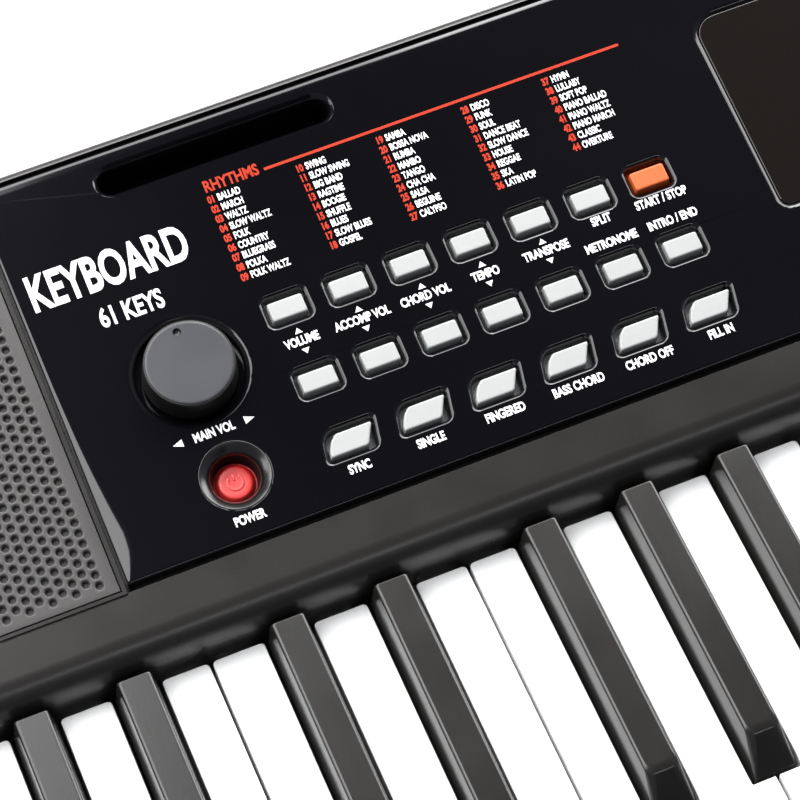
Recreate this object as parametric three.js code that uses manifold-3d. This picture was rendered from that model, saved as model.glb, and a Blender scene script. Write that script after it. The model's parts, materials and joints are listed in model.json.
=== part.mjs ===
// Toy electronic keyboard with 61 small keys, built as separate moulded pieces, boards and fittings.
// Millimetres. +X runs from the low notes to the high notes, +Y to the back, +Z up.
// The origin is the middle of the footprint, on the surface that the rubber feet stand on.
import * as THREE from 'three';
import { mergeVertices } from 'three/addons/utils/BufferGeometryUtils.js';
import Module from 'manifold-3d';

const wasm = await Module();
wasm.setup();

// ---------------------------------------------------------------- driving dimensions

const WIDTH = 800;
const DEPTH = 252;
const WALL = 2.5;
const GAP = 0.3;                     // clearance between pieces that touch
const CORNER_RADIUS = 12;            // plan corners of the case
const FOOT_HEIGHT = 3;
const PARTING_Z = 26;                // where the two halves of the case meet

// Keys
const PITCH = 20.6;                  // white key pitch
const OCTAVES = 5;
const WHITE_TOP = 52;
const WHITE_HEIGHT = 14;
const WHITE_FRONT = -116;
const KEY_REAR = 4;                  // rear end of the part of each key that shows
const KEY_GAP = 1.0;
const KEY_WALL = 1.8;
const BLACK_RISE = 7.8;              // black key top above the white key top
const BLACK_BASE_WIDTH = 10;
const BLACK_TOP_WIDTH = 8.6;
const BLACK_LENGTH = 72.7;           // at the level of the white tops
const BLACK_NOSE = 7.8;              // run of the sloping front face
const NOTCH_CLEARANCE = 0.9;
const KEY_FIELD = OCTAVES * 7 + 1;   // white keys in all
const KEYS_LEFT = -KEY_FIELD * PITCH / 2;

// Key hinge: thin tangs rest on a rail behind the front wall of the panel
const TANG_BOTTOM = 43.5;
const TANG_THICKNESS = 2.4;
const TANG_REAR = 33;
const RAIL_FRONT = 25.5;
const RAIL_REAR = 30.5;
const RISER = { front: 29.3, rear: 31 };
const COMB_BAR = { front: 31.5, rear: 36 };
const COMB_LEVELS = { low: 0, middle: 3.5, high: 7 };

// Key frame and the contacts that the plungers under the keys press
const DECK = { front: -113, rear: 34, bottom: 20, top: 22 };
const CONTACT = { front: -56, rear: -26, white: -48, black: -38, plunger: 33 };
const CONTACT_LEVELS = { boardBottom: 22.3, boardTop: 23.9, rubberBottom: 24.2, rubberTop: 27.6 };

// Panel plane: rises to the back, hinged in the drawing about its front edge
const PANEL_SLOPE = THREE.MathUtils.degToRad(9.7);
const PANEL_FRONT = { y: KEY_REAR + 18.24, z: WHITE_TOP + 13 };
const PANEL_LENGTH = 102.2;
const PANEL_HALF = 237.8;
const PANEL_THICKNESS = 2.5;
const GROOVE = 1.6;                  // shadow gap in front of the panel
const BAND_RADIUS = 7.5;             // rolled edge behind the keys
const BAND_WALL = KEY_REAR + 1.7;    // wall behind the keys
const LIP_TOP = 43;                  // front lip of the case
const LIP_REAR = WHITE_FRONT - 1.2;

// Controls on the panel, in panel coordinates: x across, s up the slope, h out of the surface
const ROWS = [
  { s: 49.0, first: -180.75, pitch: 15.14, count: 7 },
  { s: 30.1, first: -180.75, pitch: 15.14, count: 7 },
];
const LOWER_ROW = { s: 13.75, first: -179.4, pitch: 17.8, count: 6 };
const CAP = { width: 8.5, length: 4.7, top: 0.3, web: -3.0, webThickness: 1.1, travel: 1.2 };
const LOWER_CAP = { width: 9.3, length: 5.2, lean: 2.65 };
const CAP_CLEARANCE = 0.45;
const KNOB = { x: -207.0, s: 42.5, radius: 10.95, topRadius: 10.25, top: 5.3, recess: 13.5, recessDepth: 2.2 };
const POWER = { x: -206.6, s: 15.5, radius: 4.3, top: -4.9, bottom: -7.2, dish: 8.2, dishDepth: 5.2, hole: 4.95 };
const DISPLAY = { half: 65, front: 29.2, back: 84.5, radius: 6 };
const REST_SLOT = { x: 181.3, s: 93.65, length: 57.4, width: 6.6, depth: 12 };
const BOARD_TOP = -9.8;              // button board, below the panel surface
const BOARD = { half: 226, front: 6, back: 86, thickness: 1.6 };

// Speakers and grilles
const GRILLE = { inner: 239.9, outer: 388, front: -0.6, back: 100.6 };
const SPEAKER = { x: 313, s: 50.2, radius: 44, magnet: 25, depth: 36 };

// Bottom of the case
const FLOOR_TOP = 5.5;
const MAIN_BOARD = { bottom: 10, top: 11.6, left: -230, right: -92, front: 46, back: 108,
  corners: [[-225, 51], [-97, 51], [-225, 103], [-97, 103]] };
const FEET = { x: 360, y: 100, radius: 8, stem: 3 };
const SCREWS = { x: 386, y: [-96, 60], radius: 1.5, head: 3 };
const BATTERY = { half: 56, front: 61, back: 109, top: 23 };
const DOOR = { half: 58, flange: 60, front: 57, back: 119.6, bottom: 3.2, step: 4.7, top: 6 };
const JACKS = { dc: -200, headphone: -172, z: 41, hole: 4.4 };

// ---------------------------------------------------------------- materials

const plastic = (colour, roughness) => new THREE.MeshStandardMaterial({ color: colour, roughness, metalness: 0 });
const metal = (colour, roughness) => new THREE.MeshStandardMaterial({ color: colour, roughness, metalness: 0.9 });

const MATERIALS = {
  case: plastic(0x2b2a2a, 0.55),
  panel: plastic(0x0c0b0f, 0.12),
  grille: plastic(0x3f3e3f, 0.7),
  whiteKey: plastic(0xf6f6f4, 0.3),
  blackKey: plastic(0x1a1a1a, 0.4),
  cap: plastic(0xd8d8d6, 0.4),
  orangeCap: plastic(0xf26a2e, 0.35),
  powerCap: plastic(0xd8201c, 0.3),
  knob: plastic(0x2a2a2e, 0.45),
  displayWindow: plastic(0x12100e, 0.08),
  displayFrame: plastic(0xb9bdb4, 0.5),
  board: plastic(0x1f5c3a, 0.5),
  rubber: plastic(0x3a3a3c, 0.9),
  frame: plastic(0xd9d5c9, 0.6),
  steel: metal(0xb8bab8, 0.35),
  speaker: metal(0x2c2c2e, 0.6),
  electrical: plastic(0x161616, 0.5),
};

// ---------------------------------------------------------------- shape helpers

/** A closed geometry as a solid for cutting and joining. */
function solidOf(geometry) {
  let bare = geometry.index ? geometry.toNonIndexed() : geometry.clone();
  bare.deleteAttribute('normal');
  bare.deleteAttribute('uv');
  bare = mergeVertices(bare, 1e-5);
  return new wasm.Manifold(new wasm.Mesh({
    numProp: 3,
    vertProperties: Float32Array.from(bare.attributes.position.array),
    triVerts: Uint32Array.from(bare.index.array),
  }));
}

/** A solid turned back into a geometry with flat normals. */
function geometryOf(solid) {
  const mesh = solid.getMesh();
  const geometry = new THREE.BufferGeometry();
  const positions = new Float32Array(mesh.numVert * 3);
  for (let i = 0; i < mesh.numVert; i++) {
    for (let k = 0; k < 3; k++) positions[i * 3 + k] = mesh.vertProperties[i * mesh.numProp + k];
  }
  geometry.setAttribute('position', new THREE.BufferAttribute(positions, 3));
  geometry.setIndex(Array.from(mesh.triVerts));
  const flat = geometry.toNonIndexed();
  flat.computeVertexNormals();
  return flat;
}

const join = (...solids) => solids.reduce((sum, next) => sum.add(next));
const cut = (solid, ...tools) => tools.reduce((rest, tool) => rest.subtract(tool), solid);

/** Box between two corners. */
function box(x0, x1, y0, y1, z0, z1) {
  const geometry = new THREE.BoxGeometry(x1 - x0, y1 - y0, z1 - z0);
  geometry.translate((x0 + x1) / 2, (y0 + y1) / 2, (z0 + z1) / 2);
  return solidOf(geometry);
}

/** Upright cylinder or cone. */
function post(x, y, z0, z1, radius, topRadius = radius, sides = 24) {
  const geometry = new THREE.CylinderGeometry(topRadius, radius, z1 - z0, sides);
  geometry.rotateX(Math.PI / 2);
  geometry.translate(x, y, (z0 + z1) / 2);
  return solidOf(geometry);
}

/** Cylinder lying along Y. */
function barrel(x, z, y0, y1, radius, sides = 20) {
  const geometry = new THREE.CylinderGeometry(radius, radius, y1 - y0, sides);
  geometry.translate(x, (y0 + y1) / 2, z);
  return solidOf(geometry);
}

/** Rounded rectangle as a shape in the XY plane. */
function roundedRectangle(x0, x1, y0, y1, radius) {
  const shape = new THREE.Shape();
  shape.moveTo(x0 + radius, y0);
  shape.lineTo(x1 - radius, y0);
  shape.absarc(x1 - radius, y0 + radius, radius, -Math.PI / 2, 0);
  shape.lineTo(x1, y1 - radius);
  shape.absarc(x1 - radius, y1 - radius, radius, 0, Math.PI / 2);
  shape.lineTo(x0 + radius, y1);
  shape.absarc(x0 + radius, y1 - radius, radius, Math.PI / 2, Math.PI);
  shape.lineTo(x0, y0 + radius);
  shape.absarc(x0 + radius, y0 + radius, radius, Math.PI, 1.5 * Math.PI);
  return shape;
}

/** Shape in the XY plane pulled up from z0 to z1. */
function slab(shape, z0, z1, curveSegments = 6) {
  const geometry = new THREE.ExtrudeGeometry(shape, { depth: z1 - z0, bevelEnabled: false, curveSegments });
  geometry.translate(0, 0, z0);
  return solidOf(geometry);
}

/** Section drawn in the YZ plane, pulled along X. */
function bar(shape, x0, x1, curveSegments = 6) {
  const geometry = new THREE.ExtrudeGeometry(shape, { depth: x1 - x0, bevelEnabled: false, curveSegments });
  const turn = new THREE.Matrix4().makeBasis(
    new THREE.Vector3(0, 1, 0), new THREE.Vector3(0, 0, 1), new THREE.Vector3(1, 0, 0));
  geometry.applyMatrix4(turn);
  geometry.translate(x0, 0, 0);
  return solidOf(geometry);
}

/** Closed prism between two polygons with the same number of corners, each [x, y], at heights z0 and z1. */
function loft(lower, z0, upper, z1) {
  const count = lower.length;
  const corners = [...lower.map(([x, y]) => [x, y, z0]), ...upper.map(([x, y]) => [x, y, z1])];
  const faces = THREE.ShapeUtils.triangulateShape(lower.map(([x, y]) => new THREE.Vector2(x, y)), []);
  const index = [];
  for (const [a, b, c] of faces) index.push(a, c, b, a + count, b + count, c + count);
  for (let i = 0; i < count; i++) {
    const next = (i + 1) % count;
    index.push(i, next, next + count, i, next + count, i + count);
  }
  const geometry = new THREE.BufferGeometry();
  geometry.setAttribute('position', new THREE.Float32BufferAttribute(corners.flat(), 3));
  geometry.setIndex(index);
  return solidOf(geometry);
}

/** Corners of a rounded rectangle centred on the origin, as [x, y] pairs. */
function roundedCorners(width, depth, radius, steps = 5) {
  const corners = [];
  for (let quarter = 0; quarter < 4; quarter++) {
    const cx = (quarter === 0 || quarter === 3 ? 1 : -1) * (width / 2 - radius);
    const cy = (quarter < 2 ? 1 : -1) * (depth / 2 - radius);
    for (let i = 0; i <= steps; i++) {
      const angle = (quarter + i / steps) * Math.PI / 2;
      corners.push([cx + radius * Math.cos(angle), cy + radius * Math.sin(angle)]);
    }
  }
  return corners;
}

// ---------------------------------------------------------------- scene graph

const keyboard = new THREE.Group();
const panelGroup = new THREE.Group();
panelGroup.position.set(0, PANEL_FRONT.y, PANEL_FRONT.z);
panelGroup.rotation.x = PANEL_SLOPE;
panelGroup.updateMatrix();
keyboard.add(panelGroup);

function add(name, solid, material, parent = keyboard) {
  const mesh = new THREE.Mesh(geometryOf(solid), MATERIALS[material]);
  mesh.name = name;
  parent.add(mesh);
}

/** A solid drawn in panel coordinates, carried to the keyboard's own frame. */
const fromPanel = (solid) => solid.transform(panelGroup.matrix.elements);

// ---------------------------------------------------------------- keys

// Sideways shift of each black key from the line between its two white keys.
const BLACK_OFFSETS = { 0: -2.0, 1: 2.0, 3: -3.13, 4: 0, 5: 3.13 };
const WHITE_NAMES = ['C', 'D', 'E', 'F', 'G', 'A', 'B'];

const whiteLeft = (index) => KEYS_LEFT + index * PITCH;
const blackCentre = (index) => whiteLeft(index + 1) + BLACK_OFFSETS[index % 7];
const hasBlackAfter = (index) => index % 7 in BLACK_OFFSETS && index < KEY_FIELD - 1;

/** Left and right edges of a white key's narrow rear part. */
function tailEdges(index) {
  const reach = BLACK_BASE_WIDTH / 2 + NOTCH_CLEARANCE;
  const left = index > 0 && hasBlackAfter(index - 1)
    ? blackCentre(index - 1) + reach : whiteLeft(index) + KEY_GAP / 2;
  const right = hasBlackAfter(index) ? blackCentre(index) - reach : whiteLeft(index + 1) - KEY_GAP / 2;
  return [left, right];
}

/** Thin arm from the rear of a key back over the hinge rail, stepped up to its comb's level. */
function tang(centre, width, level) {
  const rise = COMB_LEVELS[level];
  const x0 = centre - width / 2;
  const x1 = centre + width / 2;
  const top = TANG_BOTTOM + TANG_THICKNESS;
  const flat = box(x0, x1, KEY_REAR - 2, rise === 0 ? TANG_REAR : RISER.rear, TANG_BOTTOM, top);
  if (rise === 0) return flat;
  return join(flat,
    box(x0, x1, RISER.front, RISER.rear, TANG_BOTTOM, top + rise),
    box(x0, x1, RISER.front, TANG_REAR, TANG_BOTTOM + rise, top + rise));
}

/** White key: hollow underneath, notched for its black neighbours, with a plunger for its contact. */
function whiteKey(index, level) {
  const left = whiteLeft(index) + KEY_GAP / 2;
  const right = whiteLeft(index + 1) - KEY_GAP / 2;
  const [tailLeft, tailRight] = tailEdges(index);
  const bottom = WHITE_TOP - WHITE_HEIGHT;
  const headRear = KEY_REAR - BLACK_LENGTH - NOTCH_CLEARANCE;
  const outside = join(
    box(left, right, WHITE_FRONT, headRear, bottom, WHITE_TOP),
    box(tailLeft, tailRight, WHITE_FRONT, KEY_REAR, bottom, WHITE_TOP));
  const roof = WHITE_TOP - KEY_WALL;
  const inside = join(
    box(left + KEY_WALL, right - KEY_WALL, WHITE_FRONT + KEY_WALL, headRear - KEY_WALL, bottom - 1, roof),
    box(tailLeft + KEY_WALL, tailRight - KEY_WALL, WHITE_FRONT + KEY_WALL, KEY_REAR - KEY_WALL, bottom - 1, roof));
  const centre = (tailLeft + tailRight) / 2;
  const plunger = box(centre - 2, centre + 2, CONTACT.white - 2, CONTACT.white + 2, CONTACT.plunger, roof + 0.5);
  return join(cut(outside, inside), plunger, tang(centre, 8, level));
}

/** Black key: drafted sides, long sloping front, hollow underneath. */
function blackKey(index, level) {
  const centre = blackCentre(index);
  const front = KEY_REAR - BLACK_LENGTH;
  const base = BLACK_BASE_WIDTH / 2;
  const top = BLACK_TOP_WIDTH / 2;
  const bottom = WHITE_TOP - 11;
  const rectangle = (half, y0, y1) => [
    [centre - half, y0], [centre + half, y0], [centre + half, y1], [centre - half, y1]];
  const outside = join(
    box(centre - base, centre + base, front, KEY_REAR, bottom, WHITE_TOP),
    loft(rectangle(base, front, KEY_REAR), WHITE_TOP,
      rectangle(top, front + BLACK_NOSE, KEY_REAR), WHITE_TOP + BLACK_RISE));
  const inside = box(centre - base + KEY_WALL, centre + base - KEY_WALL,
    front + KEY_WALL, KEY_REAR - KEY_WALL, bottom - 1, WHITE_TOP + 0.5);
  const plunger = box(centre - 2, centre + 2, CONTACT.black - 2, CONTACT.black + 2, CONTACT.plunger, WHITE_TOP + 1);
  return join(cut(outside, inside), plunger, tang(centre, 7, level));
}

/** Bar that joins the rear ends of the keys moulded together as one comb. */
function combBar(indices, level, tangs) {
  const bottom = TANG_BOTTOM + COMB_LEVELS[level];
  const first = tangs.centre(indices[0]) - tangs.half;
  const last = tangs.centre(indices[indices.length - 1]) + tangs.half;
  return box(first, last, COMB_BAR.front, COMB_BAR.rear, bottom, bottom + TANG_THICKNESS);
}

const tailCentre = (index) => (tailEdges(index)[0] + tailEdges(index)[1]) / 2;
const WHITE_TANG = { centre: tailCentre, half: 4 };
const BLACK_TANG = { centre: blackCentre, half: 3.5 };
const SINGLE_OCTAVE = 1;             // the octave whose keys are each moulded on their own

for (let octave = 0; octave < OCTAVES; octave++) {
  const label = octave + 2;
  const start = octave * 7;
  const blacks = [0, 1, 3, 4, 5].map((step) => start + step);
  if (octave === SINGLE_OCTAVE) {
    for (let step = 0; step < 7; step++) {
      add(`white_key_${WHITE_NAMES[step]}${label}`, whiteKey(start + step, 'low'), 'whiteKey');
    }
    for (const index of blacks) {
      add(`black_key_${WHITE_NAMES[index % 7]}${label}_sharp`, blackKey(index, 'low'), 'blackKey');
    }
    continue;
  }
  const outer = [0, 2, 4, 6].map((step) => start + step);
  if (octave === OCTAVES - 1) outer.push(start + 7);
  const inner = [1, 3, 5].map((step) => start + step);
  add(`white_keys_C${label}_E${label}_G${label}_B${label}`,
    join(...outer.map((index) => whiteKey(index, 'low')), combBar(outer, 'low', WHITE_TANG)), 'whiteKey');
  add(`white_keys_D${label}_F${label}_A${label}`,
    join(...inner.map((index) => whiteKey(index, 'middle')), combBar(inner, 'middle', WHITE_TANG)), 'whiteKey');
  add(`black_keys_octave_${label}`,
    join(...blacks.map((index) => blackKey(index, 'high')), combBar(blacks, 'high', BLACK_TANG)), 'blackKey');
}

// ---------------------------------------------------------------- key frame and contacts

/** Deck on ribs, the hinge rail behind it, and a guide pin inside every key. */
function keyFrame() {
  const half = KEY_FIELD * PITCH / 2 - 2;
  const deck = box(-half, half, DECK.front, DECK.rear, DECK.bottom, DECK.top);
  const rail = box(-half, half, RAIL_FRONT, RAIL_REAR, DECK.bottom + 1, TANG_BOTTOM - 0.4);
  const ribs = [-1, -0.5, 0, 0.5, 1].map((part) => {
    const x = part * (half - 1);
    return box(x - 1, x + 1, DECK.front, DECK.rear, FLOOR_TOP + GAP, DECK.bottom + 1);
  });
  const pins = [];
  for (let index = 0; index < KEY_FIELD; index++) {
    const x = whiteLeft(index) + PITCH / 2;
    pins.push(box(x - 2, x + 2, -106, -101, DECK.bottom + 1, 41));
    if (!hasBlackAfter(index)) continue;
    const centre = blackCentre(index);
    pins.push(box(centre - 1.5, centre + 1.5, -62, -57, DECK.bottom + 1, 44));
  }
  return join(deck, rail, ...ribs, ...pins);
}
add('key_frame', keyFrame(), 'frame');

const contactHalf = KEY_FIELD * PITCH / 2 - 6;
add('key_contact_board', box(-contactHalf, contactHalf, CONTACT.front, CONTACT.rear,
  CONTACT_LEVELS.boardBottom, CONTACT_LEVELS.boardTop), 'board');
add('key_contact_rubber', box(-contactHalf, contactHalf, CONTACT.front + 4, CONTACT.rear - 4,
  CONTACT_LEVELS.rubberBottom, CONTACT_LEVELS.rubberTop), 'rubber');

// ---------------------------------------------------------------- top case

/** Height of the panel plane, or of one a given depth below it, at a distance from the front of the case. */
const planeZ = (y, depth = 0) => PANEL_FRONT.z + (y - PANEL_FRONT.y) * Math.tan(PANEL_SLOPE)
  - depth / Math.cos(PANEL_SLOPE);

/** Section of the case above the parting line, in from its outer face by the given amount. */
function caseSection(inset) {
  const front = -DEPTH / 2 + inset;
  const back = DEPTH / 2 - inset;
  const rollCentre = { y: BAND_WALL + BAND_RADIUS, z: planeZ(BAND_WALL + BAND_RADIUS, BAND_RADIUS) };
  const rollRadius = BAND_RADIUS - inset;
  const backRadius = 3 - inset / 2;
  const foot = PARTING_Z + (inset > 0 ? -1 : 0);
  const lipRadius = 6 - inset;
  const shape = new THREE.Shape();
  shape.moveTo(front, foot);
  shape.lineTo(front, LIP_TOP - inset - lipRadius);
  shape.absarc(front + lipRadius, LIP_TOP - inset - lipRadius, lipRadius, Math.PI, Math.PI / 2, true);
  shape.lineTo(LIP_REAR, LIP_TOP - inset);
  shape.lineTo(BAND_WALL + inset, rollCentre.z - inset);
  shape.absarc(rollCentre.y, rollCentre.z, rollRadius, Math.PI, Math.PI / 2 + PANEL_SLOPE, true);
  shape.lineTo(back - backRadius, planeZ(back - backRadius, inset));
  shape.lineTo(back, planeZ(back - backRadius, inset) - backRadius);
  shape.lineTo(back, foot);
  shape.closePath();
  return shape;
}

/** Pocket through the top of the case, drawn in panel coordinates. */
const pocket = (x0, x1, s0, s1, h0 = -8, h1 = 8) => fromPanel(box(x0, x1, s0, s1, h0, h1));

/** Ledge under a pocket, on which a plate rests. */
function ledge(x0, x1, s0, s1, opening) {
  const outer = box(x0, x1, s0, s1, -PANEL_THICKNESS - GAP - 2, -1);
  const inner = box(...opening, -8, 0);
  return fromPanel(cut(outer, inner));
}

function topCase() {
  const plan = (inset) => slab(
    roundedRectangle(-WIDTH / 2 + inset, WIDTH / 2 - inset, -DEPTH / 2 + inset, DEPTH / 2 - inset,
      CORNER_RADIUS - inset), PARTING_Z - 2, 90);
  const well = KEY_FIELD * PITCH / 2 + 0.9;
  const outside = bar(caseSection(0), -WIDTH / 2, WIDTH / 2).intersect(plan(0));
  const hollow = bar(caseSection(WALL), -WIDTH / 2, WIDTH / 2).intersect(plan(WALL));
  const cheekWall = [-1, 1].map((side) => {
    const inner = side * well;
    const outer = side * (well + WALL);
    return box(Math.min(inner, outer), Math.max(inner, outer), LIP_REAR - 1, BAND_WALL + WALL, PARTING_Z, 53);
  });
  const lipWall = box(-well - WALL, well + WALL, LIP_REAR - 2.2, LIP_REAR, PARTING_Z, LIP_TOP - 1);
  const bandWall = box(-well - 1, well + 1, BAND_WALL, BAND_WALL + WALL, 48, 57);
  let shell = join(cut(outside, hollow), ...cheekWall, lipWall, bandWall);
  shell = cut(shell, box(-well, well, LIP_REAR, BAND_WALL, PARTING_Z - 2, 90));
  shell = cut(shell, box(-well, well, LIP_REAR, BAND_WALL + WALL + 1, PARTING_Z - 2, 48));

  shell = join(shell, ledge(-PANEL_HALF - 4, PANEL_HALF + 4, -4, 103.4,
    [-PANEL_HALF + 4, PANEL_HALF - 4, 3, 100.4]));
  shell = cut(shell, pocket(-PANEL_HALF - GAP, PANEL_HALF + GAP, -GROOVE, PANEL_LENGTH + GAP,
    -PANEL_THICKNESS - GAP));
  for (const side of [-1, 1]) {
    const edges = [side * GRILLE.inner, side * GRILLE.outer].sort((a, b) => a - b);
    shell = join(shell, ledge(edges[0] - 2, edges[1] + 2, -4, 103.4,
      [edges[0] + 4, edges[1] - 4, 3, 97]));
    shell = cut(shell, pocket(edges[0] - GAP, edges[1] + GAP, GRILLE.front - GAP - 0.7, GRILLE.back + GAP,
      -PANEL_THICKNESS - GAP));
  }
  const bosses = [];
  for (const side of [-1, 1]) {
    for (const y of SCREWS.y) {
      const top = y < PANEL_FRONT.y ? LIP_TOP + 1 : planeZ(y, 4.4);
      bosses.push(post(side * SCREWS.x, y, PARTING_Z + 2, top, 4, 4, 12));
    }
  }
  shell = join(shell, ...bosses);
  const pilots = [];
  for (const side of [-1, 1]) {
    for (const y of SCREWS.y) pilots.push(post(side * SCREWS.x, y, PARTING_Z, 42, SCREWS.radius + GAP, undefined, 10));
  }
  const sockets = [JACKS.dc, JACKS.headphone].map((x) => barrel(x, JACKS.z, 110, 130, JACKS.hole + GAP));
  return cut(shell, ...pilots, ...sockets);
}
add('top_case', topCase(), 'case');

// ---------------------------------------------------------------- bottom case

/** Outline of the tray, in by the given amount. */
const trayCorners = (inset) => roundedCorners(WIDTH - 2 * inset, DEPTH - 2 * inset, CORNER_RADIUS - inset);

function bottomCase() {
  const outside = join(
    loft(trayCorners(6), FOOT_HEIGHT, trayCorners(0.5), FOOT_HEIGHT + 6),
    loft(trayCorners(0.5), FOOT_HEIGHT + 6, trayCorners(0), PARTING_Z - GAP));
  const inside = join(
    loft(trayCorners(8), FLOOR_TOP, trayCorners(3), FLOOR_TOP + 5),
    loft(trayCorners(3), FLOOR_TOP + 5, trayCorners(2.5), PARTING_Z + 2));
  const bayWall = 1.6;
  const bay = box(-BATTERY.half - bayWall, BATTERY.half + bayWall, BATTERY.front - bayWall,
    BATTERY.back + bayWall, FLOOR_TOP - 1, BATTERY.top + bayWall);
  const doorSeat = box(-DOOR.flange - 3, DOOR.flange + 3, DOOR.front - 3, 122.5, FLOOR_TOP - 1, DOOR.top + 2);
  const screwPosts = [];
  const screwHoles = [];
  for (const side of [-1, 1]) {
    for (const y of SCREWS.y) {
      screwPosts.push(post(side * SCREWS.x, y, FLOOR_TOP - 1, PARTING_Z + 1.4, 4, 4, 12));
      screwHoles.push(post(side * SCREWS.x, y, 0, PARTING_Z + 2, SCREWS.radius + 0.3, undefined, 12));
      screwHoles.push(post(side * SCREWS.x, y, 0, 8, SCREWS.head + 0.5, undefined, 12));
    }
  }
  const boardPosts = MAIN_BOARD.corners.map(([x, y]) => post(x, y, FLOOR_TOP - 1, MAIN_BOARD.bottom - GAP, 3, 3, 8));
  const footHoles = [];
  for (const x of [-FEET.x, FEET.x]) {
    for (const y of [-FEET.y, FEET.y]) footHoles.push(post(x, y, 0, 12, FEET.stem + GAP, undefined, 12));
  }
  return cut(
    join(cut(outside, inside), bay, doorSeat, ...screwPosts, ...boardPosts),
    box(-BATTERY.half, BATTERY.half, BATTERY.front, BATTERY.back, 0, BATTERY.top),
    box(-DOOR.half - GAP, DOOR.half + GAP, DOOR.front - GAP, 130, 0, DOOR.step + 0.5),
    box(-DOOR.flange - GAP, DOOR.flange + GAP, DOOR.front - GAP, 130, DOOR.step - GAP, DOOR.top + GAP),
    ...screwHoles, ...footHoles);
}
add('bottom_case', bottomCase(), 'case');

const door = join(
  box(-DOOR.half, DOOR.half, DOOR.front, DOOR.back, DOOR.bottom, DOOR.step + 0.5),
  box(-DOOR.flange, DOOR.flange, DOOR.front, DOOR.back, DOOR.step, DOOR.top));
const thumbGroove = box(-14, 14, DOOR.back - 12, DOOR.back - 8, DOOR.bottom - 1, DOOR.bottom + 0.8);
add('battery_door', cut(door, thumbGroove), 'case');

/** Contact plate with a raised spring spot for each row of cells. */
function batteryContact() {
  const x = -BATTERY.half + GAP;
  const plate = box(x, x + 0.5, BATTERY.front + 2, BATTERY.back - 2, 8, 20);
  const rows = [-1, 0, 1].map((row) => {
    const y = (BATTERY.front + BATTERY.back) / 2 + row * 15;
    return box(x + 0.3, x + 3, y - 2.5, y + 2.5, 11.5, 16.5);
  });
  return join(plate, ...rows);
}
add('battery_contact_plate', batteryContact(), 'steel');

for (const [side, x] of [['left', -FEET.x], ['right', FEET.x]]) {
  for (const [place, y] of [['front', -FEET.y], ['rear', FEET.y]]) {
    add(`rubber_foot_${place}_${side}`, join(
      post(x, y, 0, FOOT_HEIGHT - GAP, FEET.radius - 0.6, FEET.radius, 20),
      post(x, y, 1, FLOOR_TOP + 2, FEET.stem, FEET.stem, 8),
      post(x, y, FLOOR_TOP + 0.4, FLOOR_TOP + 2.4, FEET.stem + 1.2, FEET.stem - 0.8, 8)), 'rubber');
  }
}

for (const [side, x] of [['left', -SCREWS.x], ['right', SCREWS.x]]) {
  add(`case_screw_${side}`, cut(
    join(post(x, SCREWS.y[1], 5.6, 7.7, SCREWS.head, SCREWS.head, 16),
      post(x, SCREWS.y[1], 7, 40, SCREWS.radius, SCREWS.radius, 12)),
    box(x - 2, x + 2, SCREWS.y[1] - 0.4, SCREWS.y[1] + 0.4, 5, 6.4),
    box(x - 0.4, x + 0.4, SCREWS.y[1] - 2, SCREWS.y[1] + 2, 5, 6.4)), 'steel');
}

// ---------------------------------------------------------------- control panel

/** Place of every cap in a row, mirrored when side is 1. */
const capCentres = (row, side = -1) => Array.from({ length: row.count },
  (_, i) => -side * (row.first + i * row.pitch));

/** Outline of a leaning cap in the lower row: its front edge sits to one side of its back edge. */
function leaningShape(x, s, grow) {
  const halfWidth = LOWER_CAP.width / 2 + grow;
  const halfLength = LOWER_CAP.length / 2 + grow;
  const lean = LOWER_CAP.lean / 2;
  const shape = new THREE.Shape();
  shape.moveTo(x - halfWidth - lean, s - halfLength);
  shape.lineTo(x + halfWidth - lean, s - halfLength);
  shape.lineTo(x + halfWidth + lean, s + halfLength);
  shape.lineTo(x - halfWidth + lean, s + halfLength);
  shape.closePath();
  return shape;
}

const straightCap = (x, s, grow, h0, h1) => box(
  x - CAP.width / 2 - grow, x + CAP.width / 2 + grow, s - CAP.length / 2 - grow, s + CAP.length / 2 + grow, h0, h1);
const leaningCap = (x, s, grow, h0, h1) => slab(leaningShape(x, s, grow), h0, h1);

/** Upright tube wall in panel coordinates. */
const disc = (x, s, h0, h1, radius, topRadius, sides) => post(x, s, h0, h1, radius, topRadius, sides);

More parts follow.
